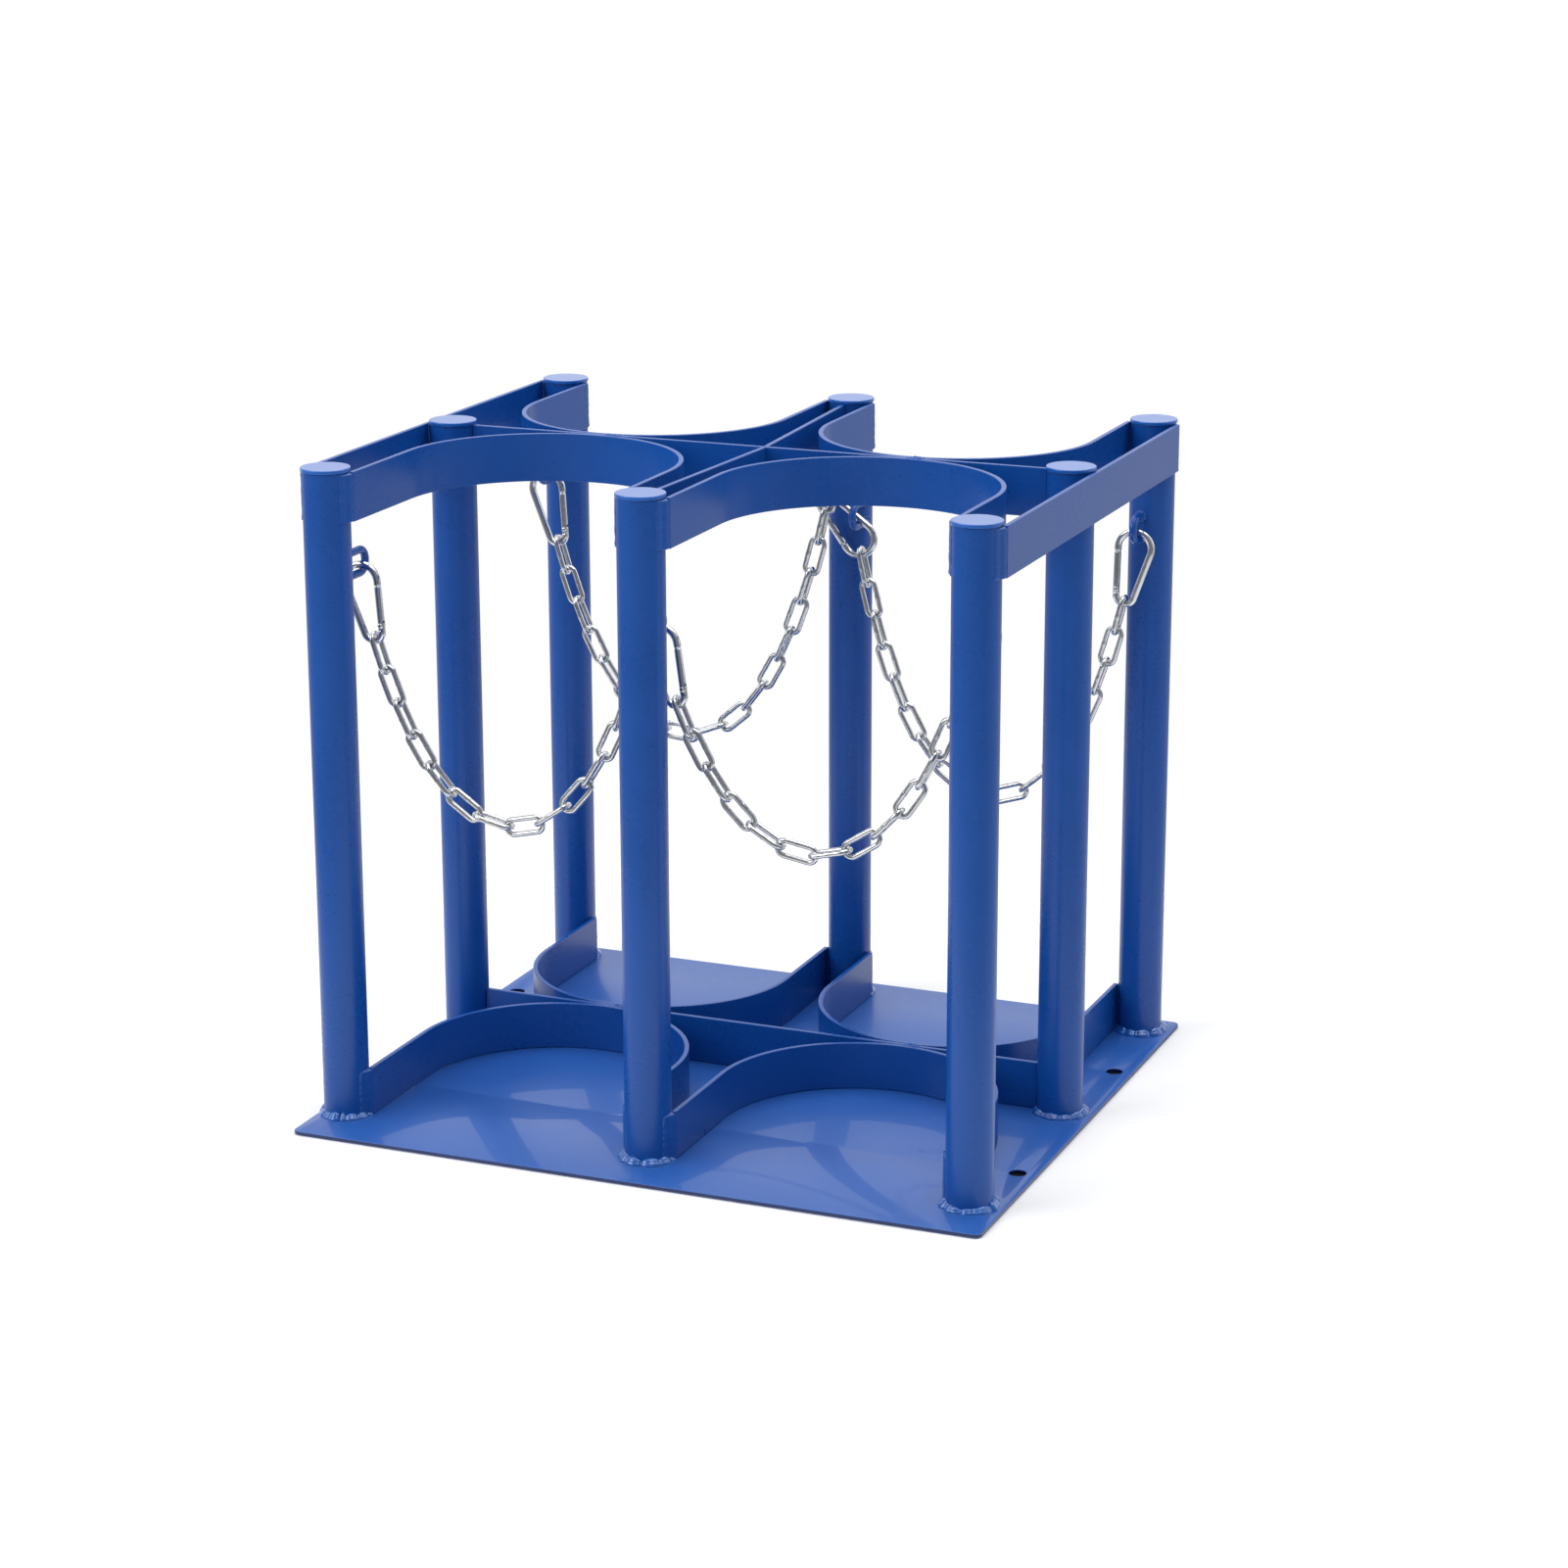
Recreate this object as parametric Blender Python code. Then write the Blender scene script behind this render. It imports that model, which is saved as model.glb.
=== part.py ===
"""Cylinder storage rack with four bays, built from tube, flat bar and plate, with swinging chains.

Metres, +Z up. The origin is the middle of the underside of the base plate, -Y is the front.
"""
import math

import bmesh
import bpy
from mathutils import Matrix, Vector

# Base plate
PLATE_THICKNESS = 0.003
PLATE_CORNER_RADIUS = 0.006
MARGIN_LEFT = 0.021
MARGIN_RIGHT = 0.0285
MARGIN_FRONT = 0.0565
MARGIN_BACK = 0.028
ANCHOR_HOLE_DIAMETER = 0.014
ANCHOR_HOLE_TO_EDGE = 0.0155
ANCHOR_FRONT_BEHIND_POST = 0.077
ANCHOR_BACK_BEFORE_POST = 0.113

# Posts and their caps
POST_PITCH_X = 0.2732
POST_PITCH_Y = 0.2214
POST_DIAMETER = 0.038
POST_WALL = 0.002
POST_LENGTH = 0.539
CAP_THICKNESS = 0.003
CAP_OVERHANG = 0.001

# Flat bar of the upper and lower frames
BAR_HEIGHT = 0.040
BAR_THICKNESS = 0.004
RAIL_SHORT_OF_AXIS = 0.002
ARM_SHORT_OF_AXIS = 0.003
CROSSING_SHIFT = 0.011

# Chain
LINK_WIRE = 0.0045
LINK_INNER_LENGTH = 0.0286
LINK_INNER_WIDTH = 0.008
LINK_WEIGHT = 7.0

# Snap hooks
HOOK_WIRE = 0.006
HOOK_LENGTH = 0.070
HOOK_WIDE_WIDTH = 0.035
HOOK_NARROW_WIDTH = 0.022
HOOK_WEIGHT = 30.0
NOSE_LENGTH = 0.003
GATE_DIAMETER = 0.0058
GATE_GAP = 0.0005
PIVOT_FROM_BEND = 0.005
TONGUE_THICKNESS = 0.0022
TONGUE_WIDTH = 0.0056
TONGUE_SIDE_GAP = 0.0004
SLOT_ABOVE_TONGUE = 0.0012
RIVET_DIAMETER = 0.0022
RIVET_PLAY = 0.0003
RIVET_HEAD_DIAMETER = 0.004
RIVET_HEAD_THICKNESS = 0.0008
SIDE_HOLD_SHARE = 0.63

# Eyes welded to the posts, each a rod bent to a U that stands out from the post
EYE_WIRE = 0.0065
EYE_INNER_HEIGHT = 0.0125
EYE_BEND_PAST_CHAIN = 0.001

# How far each chain hangs from its posts' axes. The two chains of a row pass each other at the
# middle post, so one hangs farther out.
CHAIN_REACH = {"front_left": 0.047, "front_right": 0.029, "back_left": 0.047, "back_right": 0.029}

# Gap between two pieces that touch, and the wider one inside the bends of hanging wires
SEAT = 0.0003
HANGING_GAP = 0.0009

# Roundness
POST_SIDES = 24
HOLE_SIDES = 16
SADDLE_STEPS = 20
LINK_SIDES = 6
HOOK_SIDES = 8
LINK_BEND_STEPS = 4
HOOK_WIDE_STEPS = 9
HOOK_NARROW_STEPS = 8
EYE_BEND_STEPS = 6
GATE_SIDES = 12
RIVET_SIDES = 8

# Where the wire of each chain's end hangs: sideways from its post's axis, and below the upper bars
HANGING_POINTS = {
    "front_left_outer": (0.0000, 0.0454),
    "front_left_inner": (-0.0084, 0.0470),
    "front_right_inner": (-0.0020, 0.0692),
    "front_right_outer": (-0.0034, 0.0378),
    "back_left_outer": (-0.0006, 0.0347),
    "back_left_inner": (0.0021, 0.0173),
    "back_right_inner": (POST_DIAMETER / 2 - 0.004, 0.0539),
    "back_right_outer": (-0.0027, 0.0488),
}

# What each chain ends in at its left and right, and its links between them. A chain's first
# link stands across the chain, every second one lies in line with it, and so does a last link
# that hangs on the eye itself, so such a chain has an even number. A side-hung hook has its wide
# end down, and its straight side has slid along the eye.
CHAIN_ENDS = {
    "front_left": ("hook", "link"),
    "front_right": ("hook", "hook"),
    "back_left": ("hook", "link"),
    "back_right": ("side_hung", "hook"),
}
LINK_COUNTS = {"front_left": 16, "front_right": 13, "back_left": 18, "back_right": 17}

# Worked out from the sizes above
PLATE_WIDTH = 2 * POST_PITCH_X + MARGIN_LEFT + MARGIN_RIGHT
PLATE_DEPTH = 2 * POST_PITCH_Y + MARGIN_FRONT + MARGIN_BACK
COLUMN_X = {
    "left": MARGIN_LEFT - PLATE_WIDTH / 2,
    "middle": MARGIN_LEFT - PLATE_WIDTH / 2 + POST_PITCH_X,
    "right": PLATE_WIDTH / 2 - MARGIN_RIGHT,
}
ROW_Y = {
    "front": MARGIN_FRONT - PLATE_DEPTH / 2,
    "middle": MARGIN_FRONT - PLATE_DEPTH / 2 + POST_PITCH_Y,
    "back": PLATE_DEPTH / 2 - MARGIN_BACK,
}
INWARD = {"front": 1, "back": -1}
POST_RADIUS = POST_DIAMETER / 2
POST_FOOT_Z = PLATE_THICKNESS + SEAT
POST_TOP_Z = POST_FOOT_Z + POST_LENGTH
LOWER_BAR_Z = PLATE_THICKNESS + SEAT
UPPER_BAR_Z = POST_TOP_Z - BAR_HEIGHT
SADDLE_OUTER_RADIUS = POST_PITCH_X / 2 - POST_RADIUS - SEAT

LINK_BEND_RADIUS = (LINK_INNER_WIDTH + LINK_WIRE) / 2
LINK_TIP_TO_TIP = LINK_INNER_LENGTH + LINK_WIRE
LINK_STRAIGHT = LINK_TIP_TO_TIP - 2 * LINK_BEND_RADIUS
LINK_IN_LINK = LINK_BEND_RADIUS - LINK_WIRE

HOOK_WIDE_RADIUS = (HOOK_WIDE_WIDTH - HOOK_WIRE) / 2
HOOK_NARROW_RADIUS = (HOOK_NARROW_WIDTH - HOOK_WIRE) / 2
HOOK_CENTRES = HOOK_LENGTH - (HOOK_WIDE_WIDTH + HOOK_NARROW_WIDTH) / 2
HOOK_SLANT = math.asin((HOOK_WIDE_RADIUS - HOOK_NARROW_RADIUS) / HOOK_CENTRES)
LINK_TO_HOOK = (HOOK_WIRE + LINK_WIRE) / 2 + HANGING_GAP
EYE_BEND_RADIUS = (EYE_INNER_HEIGHT + EYE_WIRE) / 2
HOOK_TO_EYE = (HOOK_WIRE + EYE_WIRE) / 2 + HANGING_GAP
LINK_TO_EYE = (LINK_WIRE + EYE_WIRE) / 2 + HANGING_GAP


def clear_scene():
    """Removes every object that the file opens with."""
    for obj in list(bpy.data.objects):
        bpy.data.objects.remove(obj, do_unlink=True)


def make_material(name, colour, metallic, roughness):
    """Makes a plain Principled material."""
    material = bpy.data.materials.new(name)
    material.use_nodes = True
    shader = material.node_tree.nodes["Principled BSDF"]
    shader.inputs["Base Color"].default_value = (*colour, 1.0)
    shader.inputs["Metallic"].default_value = metallic
    shader.inputs["Roughness"].default_value = roughness
    return material


def add_object(name, bm, material, location=(0, 0, 0), parent=None, smooth=True):
    """Turns a bmesh into a named object, placed in world space whatever its parent."""
    bmesh.ops.recalc_face_normals(bm, faces=bm.faces)
    mesh = bpy.data.meshes.new(name)
    bm.to_mesh(mesh)
    bm.free()
    if smooth:
        mesh.shade_smooth()
        mesh.set_sharp_from_angle(angle=math.radians(40))
    mesh.materials.append(material)
    return add_mesh_object(name, mesh, Matrix.Translation(location), parent)


def add_mesh_object(name, mesh, placement, parent=None):
    """Adds an object for a mesh, with a world matrix and a parent that is only moved."""
    obj = bpy.data.objects.new(name, mesh)
    bpy.context.collection.objects.link(obj)
    if parent is not None:
        obj.parent = parent
        placement = Matrix.Translation(-parent.location) @ placement
    obj.matrix_basis = placement
    return obj


def add_boolean(name, bm, target, operation="DIFFERENCE"):
    """Hides a shape, which shares the target's place, and cuts or joins the target with it."""
    bmesh.ops.recalc_face_normals(bm, faces=bm.faces)
    mesh = bpy.data.meshes.new(name)
    bm.to_mesh(mesh)
    bm.free()
    tool = bpy.data.objects.new(name, mesh)
    bpy.context.collection.objects.link(tool)
    tool.parent = target.parent
    tool.matrix_basis = target.matrix_basis
    tool.hide_render = True
    tool.display_type = "WIRE"
    modifier = target.modifiers.new(name, "BOOLEAN")
    modifier.operation = operation
    modifier.object = tool
    return tool


def add_box(bm, low, high):
    """Adds a box between two corners."""
    size = Vector(high) - Vector(low)
    centre = (Vector(high) + Vector(low)) / 2
    placement = Matrix.Translation(centre) @ Matrix.Diagonal((*size, 1.0))
    bmesh.ops.create_cube(bm, size=1.0, matrix=placement)


def add_cylinder(bm, radius, start, end, sides):
    """Adds a closed cylinder from one point to another."""
    axis = Vector(end) - Vector(start)
    turn = Vector((0, 0, 1)).rotation_difference(axis).to_matrix().to_4x4()
    placement = Matrix.Translation((Vector(start) + Vector(end)) / 2) @ turn
    bmesh.ops.create_cone(bm, cap_ends=True, segments=sides, radius1=radius, radius2=radius,
                          depth=axis.length, matrix=placement)


def extrude_outline(bm, points, low_z, high_z):
    """Adds a prism with a closed outline given in X and Y."""
    face = bm.faces.new([bm.verts.new((x, y, low_z)) for x, y in points])
    raised = bmesh.ops.extrude_face_region(bm, geom=[face])
    moved = [item for item in raised["geom"] if isinstance(item, bmesh.types.BMVert)]
    bmesh.ops.translate(bm, verts=moved, vec=(0, 0, high_z - low_z))


def arc(centre, radius, start, end, steps):
    """Gives points along an arc, with its angles in degrees."""
    angles = [math.radians(start + (end - start) * i / steps) for i in range(steps + 1)]
    return [(centre[0] + radius * math.cos(a), centre[1] + radius * math.sin(a)) for a in angles]


def sweep_wire(bm, path, wire, sides, placement, closed=False):
    """Sweeps a wire along a flat path in X and Z, with mitred corners.

    The wire has flat sides, and as large a section as a round wire of the same thickness.
    """
    points = [Vector((x, 0, z)) for x, z in path]
    count = len(points)
    across = Vector((0, 1, 0))
    radius = wire / 2 * math.sqrt(2 * math.pi / (sides * math.sin(2 * math.pi / sides)))
    rings = []
    for i, point in enumerate(points):
        before = points[i - 1] if closed or i > 0 else point
        after = points[(i + 1) % count] if closed or i < count - 1 else point
        into = (point - before).normalized() if before is not point else (after - point).normalized()
        out = (after - point).normalized() if after is not point else into
        tangent = (into + out).normalized()
        side = across.cross(tangent) / max(tangent.dot(out), 0.5)
        ring = []
        for k in range(sides):
            turn = 2 * math.pi * (k + 0.5) / sides
            offset = (side * math.cos(turn) + across * math.sin(turn)) * radius
            ring.append(placement @ (point + offset))
        rings.append(ring)
    verts = [[bm.verts.new(co) for co in ring] for ring in rings]
    for i in range(count if closed else count - 1):
        one, two = verts[i], verts[(i + 1) % count]
        for k in range(sides):
            following = (k + 1) % sides
            bm.faces.new((one[k], one[following], two[following], two[k]))
    if not closed:
        bm.faces.new(verts[0])
        bm.faces.new(list(reversed(verts[-1])))


def link_path():
    """Gives the closed centreline of a link, its long way along X."""
    half = LINK_STRAIGHT / 2
    right = arc((half, 0), LINK_BEND_RADIUS, -90, 90, LINK_BEND_STEPS)
    left = arc((-half, 0), LINK_BEND_RADIUS, 90, 270, LINK_BEND_STEPS)
    return right + left


def build_plate(paint):
    """Makes the base plate, with a hole for an anchor near each corner."""
    half_x = PLATE_WIDTH / 2 - PLATE_CORNER_RADIUS
    half_y = PLATE_DEPTH / 2 - PLATE_CORNER_RADIUS
    corners = [(half_x, half_y), (-half_x, half_y), (-half_x, -half_y), (half_x, -half_y)]
    outline = []
    for i, corner in enumerate(corners):
        outline += arc(corner, PLATE_CORNER_RADIUS, 90 * i, 90 * i + 90, 3)
    bm = bmesh.new()
    extrude_outline(bm, outline, 0.0, PLATE_THICKNESS)
    plate = add_object("base_plate", bm, paint, smooth=False)
    holes = bmesh.new()
    for side in (-1, 1):
        x = side * (PLATE_WIDTH / 2 - ANCHOR_HOLE_TO_EDGE)
        for y in (ROW_Y["front"] + ANCHOR_FRONT_BEHIND_POST, ROW_Y["back"] - ANCHOR_BACK_BEFORE_POST):
            add_cylinder(holes, ANCHOR_HOLE_DIAMETER / 2, (x, y, -PLATE_THICKNESS),
                         (x, y, 2 * PLATE_THICKNESS), HOLE_SIDES)
    add_boolean("anchor_holes", holes, plate)


def build_posts(paint):
    """Makes the eight tubes and the flat cap that closes each of them."""
    for row, y in ROW_Y.items():
        for column, x in COLUMN_X.items():
            if (row, column) == ("middle", "middle"):
                continue
            name = f"{row}_{column}"
            build_tube(f"post_{name}", (x, y), paint)
            bm = bmesh.new()
            low = POST_TOP_Z + SEAT
            add_cylinder(bm, POST_RADIUS + CAP_OVERHANG, (0, 0, low), (0, 0, low + CAP_THICKNESS),
                         POST_SIDES)
            add_object(f"cap_{name}", bm, paint, (x, y, 0))


def build_tube(name, place, paint):
    """Makes one open tube on the plate, by turning the section of its wall."""
    inner = POST_RADIUS - POST_WALL
    section = [(inner, POST_FOOT_Z), (POST_RADIUS, POST_FOOT_Z),
               (POST_RADIUS, POST_TOP_Z), (inner, POST_TOP_Z)]
    bm = bmesh.new()
    turn_section(bm, section, (0, 0), 0, 360, POST_SIDES)
    add_object(name, bm, paint, (*place, 0))


def turn_section(bm, section, centre, start, end, steps):
    """Turns a closed section, given as radius and height, about an upright axis."""
    whole = math.isclose(end - start, 360)
    rings = []
    for i in range(steps if whole else steps + 1):
        turn = math.radians(start + (end - start) * i / steps)
        rings.append([bm.verts.new((centre[0] + r * math.cos(turn), centre[1] + r * math.sin(turn), z))
                      for r, z in section])
    count = len(section)
    for i in range(steps):
        one, two = rings[i], rings[(i + 1) % len(rings)]
        for k in range(count):
            following = (k + 1) % count
            bm.faces.new((one[k], two[k], two[following], one[following]))
    if not whole:
        bm.faces.new(rings[0])
        bm.faces.new(list(reversed(rings[-1])))


def build_flat_bars(paint):
    """Makes the straight flat bars: side rails, spine halves and the two cross bars."""
    inner = POST_RADIUS + SEAT
    short = RAIL_SHORT_OF_AXIS
    for column, side in (("left", -1), ("right", 1)):
        near = COLUMN_X[column] + side * inner
        far = near + side * BAR_THICKNESS
        bm = bmesh.new()
        add_box(bm, (min(near, far), ROW_Y["front"] + short, UPPER_BAR_Z),
                (max(near, far), ROW_Y["back"] - short, UPPER_BAR_Z + BAR_HEIGHT))
        add_object(f"top_side_rail_{column}", bm, paint, smooth=False)
    for level, low_z in (("top", UPPER_BAR_Z), ("bottom", LOWER_BAR_Z)):
        bm = bmesh.new()
        add_box(bm, (COLUMN_X["left"] + inner, ROW_Y["middle"] - BAR_THICKNESS / 2, low_z),
                (COLUMN_X["right"] - inner, ROW_Y["middle"] + BAR_THICKNESS / 2, low_z + BAR_HEIGHT))
        add_object(f"{level}_cross_bar", bm, paint, smooth=False)
    build_spine_halves(paint, inner)


def build_spine_halves(paint, inner):
    """Makes the two upper bars that run from the middle posts and meet at the crossing."""
    to_bar = BAR_THICKNESS / 2 + SEAT
    half = BAR_THICKNESS / 2
    for row in ("front", "back"):
        way = INWARD[row]
        post_end = Vector((COLUMN_X["middle"], ROW_Y[row] + way * inner, 0))
        bar_end = Vector((COLUMN_X["middle"] + CROSSING_SHIFT, ROW_Y["middle"] - way * to_bar, 0))
        outline = [(post_end.x - half, post_end.y), (post_end.x + half, post_end.y),
                   (bar_end.x + half, bar_end.y), (bar_end.x - half, bar_end.y)]
        bm = bmesh.new()
        extrude_outline(bm, outline, UPPER_BAR_Z, UPPER_BAR_Z + BAR_HEIGHT)
        add_object(f"top_spine_{row}", bm, paint, smooth=False)


def build_saddles(paint):
    """Makes the eight bars that are bent round the back of each bay, in the two frames."""
    to_bar = BAR_THICKNESS / 2 + SEAT
    for level, low_z in (("top", UPPER_BAR_Z), ("bottom", LOWER_BAR_Z)):
        for row, way in INWARD.items():
            for column, side in (("left", -1), ("right", 1)):
                centre_x = COLUMN_X["middle"] + side * POST_PITCH_X / 2
                centre_y = ROW_Y["middle"] - way * (to_bar + SADDLE_OUTER_RADIUS)
                arm_y = ROW_Y[row] + way * ARM_SHORT_OF_AXIS
                outline = saddle_outline((centre_x, centre_y), arm_y, way)
                bm = bmesh.new()
                extrude_outline(bm, outline, low_z, low_z + BAR_HEIGHT)
                add_object(f"{level}_saddle_{row}_{column}", bm, paint)


def saddle_outline(centre, arm_y, way):
    """Gives the plan of a bent bar: half a ring with two straight arms that end at arm_y."""
    inner_radius = SADDLE_OUTER_RADIUS - BAR_THICKNESS
    outer = arc(centre, SADDLE_OUTER_RADIUS, 0, 180 * way, SADDLE_STEPS)
    inner = arc(centre, inner_radius, 180 * way, 0, SADDLE_STEPS)
    return ([(centre[0] + SADDLE_OUTER_RADIUS, arm_y)] + outer
            + [(centre[0] - SADDLE_OUTER_RADIUS, arm_y), (centre[0] - inner_radius, arm_y)] + inner
            + [(centre[0] + inner_radius, arm_y)])


def hook_centres():
    """Gives the heights of the two bends' centres above the gate's pivot, on the load line."""
    pivot = hook_pivot()
    return HOOK_CENTRES - pivot[1], -pivot[1]


def hook_pivot():
    """Gives the gate's pivot, measured from the centre of the narrow bend."""
    foot_x = -HOOK_NARROW_RADIUS * math.cos(HOOK_SLANT)
    foot_z = -HOOK_NARROW_RADIUS * math.sin(HOOK_SLANT)
    return (foot_x - PIVOT_FROM_BEND * math.sin(HOOK_SLANT),
            foot_z + PIVOT_FROM_BEND * math.cos(HOOK_SLANT))


def side_hold():
    """Gives the point of a side-hung hook's straight side that lies on its eye.

    It is measured from the wide bend's centre, with the load line along Z.
    """
    across = math.cos(HOOK_SLANT)
    drop = math.sin(HOOK_SLANT)
    by_narrow = Vector((HOOK_NARROW_RADIUS * across, -HOOK_CENTRES - HOOK_NARROW_RADIUS * drop))
    by_wide = Vector((HOOK_WIDE_RADIUS * across, -HOOK_WIDE_RADIUS * drop))
    return by_narrow.lerp(by_wide, SIDE_HOLD_SHARE)


def gate_frame():
    """Gives the matrix that stands a gate, drawn along Z, on the slanted side of the hook."""
    return Matrix.Rotation(-HOOK_SLANT, 4, "Y")


def gate_length():
    """Gives the length of the gate from its pivot to its upper end, by the nose."""
    side = HOOK_CENTRES * math.cos(HOOK_SLANT)
    return side - PIVOT_FROM_BEND - NOSE_LENGTH - GATE_GAP


def build_hook_mesh(zinc):
    """Makes the bent wire of a snap hook, its tongue and its rivet, the gate's pivot at the origin."""
    load_x = -hook_pivot()[0]
    wide_z, narrow_z = hook_centres()
    slant = math.degrees(HOOK_SLANT)
    wide = arc((load_x, wide_z), HOOK_WIDE_RADIUS, 180 + slant, -slant, HOOK_WIDE_STEPS)
    narrow = arc((load_x, narrow_z), HOOK_NARROW_RADIUS, -slant, slant - 180, HOOK_NARROW_STEPS)
    nose = (wide[0][0] + NOSE_LENGTH * math.sin(HOOK_SLANT),
            wide[0][1] - NOSE_LENGTH * math.cos(HOOK_SLANT))
    bm = bmesh.new()
    sweep_wire(bm, [nose] + wide + narrow, HOOK_WIRE, HOOK_SIDES, Matrix())
    body = add_object("hook_pattern", bm, zinc)
    tongue = bmesh.new()
    half_width = TONGUE_WIDTH / 2
    half = TONGUE_THICKNESS / 2
    foot = -PIVOT_FROM_BEND - half_width
    outline = arc((0, 0), half_width, 0, 180, 6) + [(-half_width, foot), (half_width, foot)]
    extrude_outline(tongue, outline, -half, half)
    stand = gate_frame() @ Matrix.Rotation(math.pi / 2, 4, "X")
    bmesh.ops.transform(tongue, matrix=stand, verts=tongue.verts)
    rivet = bmesh.new()
    turn_rivet(rivet)
    tools = [add_boolean("tongue", tongue, body, "UNION"), add_boolean("rivet", rivet, body, "UNION")]
    return finished_mesh("snap_hook", body, tools)


def turn_rivet(bm):
    """Turns a rivet with two flat heads about the gate's pivot axis."""
    shank = RIVET_DIAMETER / 2
    head = RIVET_HEAD_DIAMETER / 2
    seat = GATE_DIAMETER / 2 + SEAT
    end = seat + RIVET_HEAD_THICKNESS
    section = [(0, -end), (head, -end), (head, -seat), (shank, -seat),
               (shank, seat), (head, seat), (head, end), (0, end)]
    verts = [bm.verts.new((radius, along, 0)) for radius, along in section]
    edges = [bm.edges.new(pair) for pair in zip(verts, verts[1:])]
    bmesh.ops.spin(bm, geom=verts + edges, cent=(0, 0, 0), axis=(0, 1, 0), angle=2 * math.pi,
                   steps=RIVET_SIDES, use_merge=True)
    bmesh.ops.remove_doubles(bm, verts=bm.verts, dist=1e-6)


def build_gate_mesh(zinc):
    """Makes the gate: a rod, slotted over the hook's tongue, with a hole for the rivet."""
    radius = GATE_DIAMETER / 2
    bm = bmesh.new()
    add_cylinder(bm, radius, (0, 0, -radius), (0, 0, gate_length()), GATE_SIDES)
    bmesh.ops.transform(bm, matrix=gate_frame(), verts=bm.verts)
    gate = add_object("gate_pattern", bm, zinc)
    slot = bmesh.new()
    half = TONGUE_THICKNESS / 2 + TONGUE_SIDE_GAP
    top = TONGUE_WIDTH / 2 + SLOT_ABOVE_TONGUE
    add_box(slot, (-GATE_DIAMETER, -half, -GATE_DIAMETER), (GATE_DIAMETER, half, top))
    bmesh.ops.transform(slot, matrix=gate_frame(), verts=slot.verts)
    hole = bmesh.new()
    add_cylinder(hole, RIVET_DIAMETER / 2 + RIVET_PLAY, (0, -GATE_DIAMETER, 0), (0, GATE_DIAMETER, 0),
                 RIVET_SIDES)
    tools = [add_boolean("slot", slot, gate), add_boolean("rivet_hole", hole, gate)]
    return finished_mesh("hook_gate", gate, tools)


def finished_mesh(name, pattern, tools):
    """Applies a pattern object's modifiers and gives its mesh, without the pattern and its tools."""
    bpy.context.view_layer.update()
    evaluated = pattern.evaluated_get(bpy.context.evaluated_depsgraph_get())
    mesh = bpy.data.meshes.new_from_object(evaluated)
    mesh.name = name
    mesh.shade_smooth()
    mesh.set_sharp_from_angle(angle=math.radians(40))
    for obj in [pattern] + tools:
        bpy.data.objects.remove(obj, do_unlink=True)
    return mesh


class HangingPiece:
    """A stiff piece of a hanging chain: its kind, its length along the chain and its weight."""

    def __init__(self, kind, length, weight=0.0, node=""):
        self.kind = kind
        self.length = length
        self.weight = weight
        self.node = node
        self.start = None
        self.end = None


def end_pieces(kind, node):
    """Gives the pieces at one end of a chain, from the eye towards the links."""
    if kind == "hook":
        return [HangingPiece(kind, HOOK_WIDE_RADIUS + HOOK_CENTRES, HOOK_WEIGHT, node),
                HangingPiece("joint", HOOK_NARROW_RADIUS - LINK_TO_HOOK)]
    if kind == "side_hung":
        return [HangingPiece(kind, side_hold().length, HOOK_WEIGHT, node),
                HangingPiece("joint", HOOK_WIDE_RADIUS - LINK_TO_HOOK)]
    return []


def chain_sides(name):
    """Gives which of a chain's ends is at its left and which at its right."""
    return ("outer", "inner") if name.endswith("left") else ("inner", "outer")


def chain_pieces(name):
    """Gives a chain's pieces in order, from its left eye to its right eye."""
    left, right = chain_sides(name)
    first = end_pieces(CHAIN_ENDS[name][0], f"{name}_{left}")
    last = end_pieces(CHAIN_ENDS[name][1], f"{name}_{right}")
    links = []
    for i in range(LINK_COUNTS[name]):
        if links:
            links.append(HangingPiece("joint", LINK_IN_LINK))
        if i % 2 == 0:
            links.append(HangingPiece("cross_link", LINK_TIP_TO_TIP, LINK_WEIGHT))
        else:
            links.append(HangingPiece("level_link", LINK_STRAIGHT, LINK_WEIGHT))
    if not last:
        links[-1].length += LINK_BEND_RADIUS
    return first + links + last[::-1]


def hang(pieces, start, end):
    """Lets stiff pieces hang between two points, each in line with the pull on it.

    The pull along the chain is level_pull sideways, and upwards it is left_pull less the weight
    of what lies before the piece's middle. Newton steps find the two pulls that reach the end.
    """
    middles = []
    carried = 0.0
    for piece in pieces:
        middles.append(carried + piece.weight / 2)
        carried += piece.weight
    level_pull = 0.15 * carried
    left_pull = 0.5 * carried

    def reach(level, left):
        x, z = start[0], start[1]
        for piece, middle in zip(pieces, middles):
            pull = math.hypot(level, left - middle)
            x += piece.length * level / pull
            z -= piece.length * (left - middle) / pull
        return x - end[0], z - end[1]

    nudge = 1e-5 * carried
    for _ in range(60):
        miss_x, miss_z = reach(level_pull, left_pull)
        a, c = [(v - m) / nudge for v, m in zip(reach(level_pull + nudge, left_pull),
                                                (miss_x, miss_z))]
        b, d = [(v - m) / nudge for v, m in zip(reach(level_pull, left_pull + nudge),
                                                (miss_x, miss_z))]
        scale = a * d - b * c
        step_level = (b * miss_z - d * miss_x) / scale
        step_left = (c * miss_x - a * miss_z) / scale
        limit = min(1.0, 0.5 * level_pull / max(abs(step_level), 1e-12))
        level_pull += limit * step_level
        left_pull += limit * step_left
    x, z = start
    for piece, middle in zip(pieces, middles):
        pull = math.hypot(level_pull, left_pull - middle)
        piece.start = Vector((x, z))
        x += piece.length * level_pull / pull
        z -= piece.length * (left_pull - middle) / pull
        piece.end = Vector((x, z))


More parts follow.
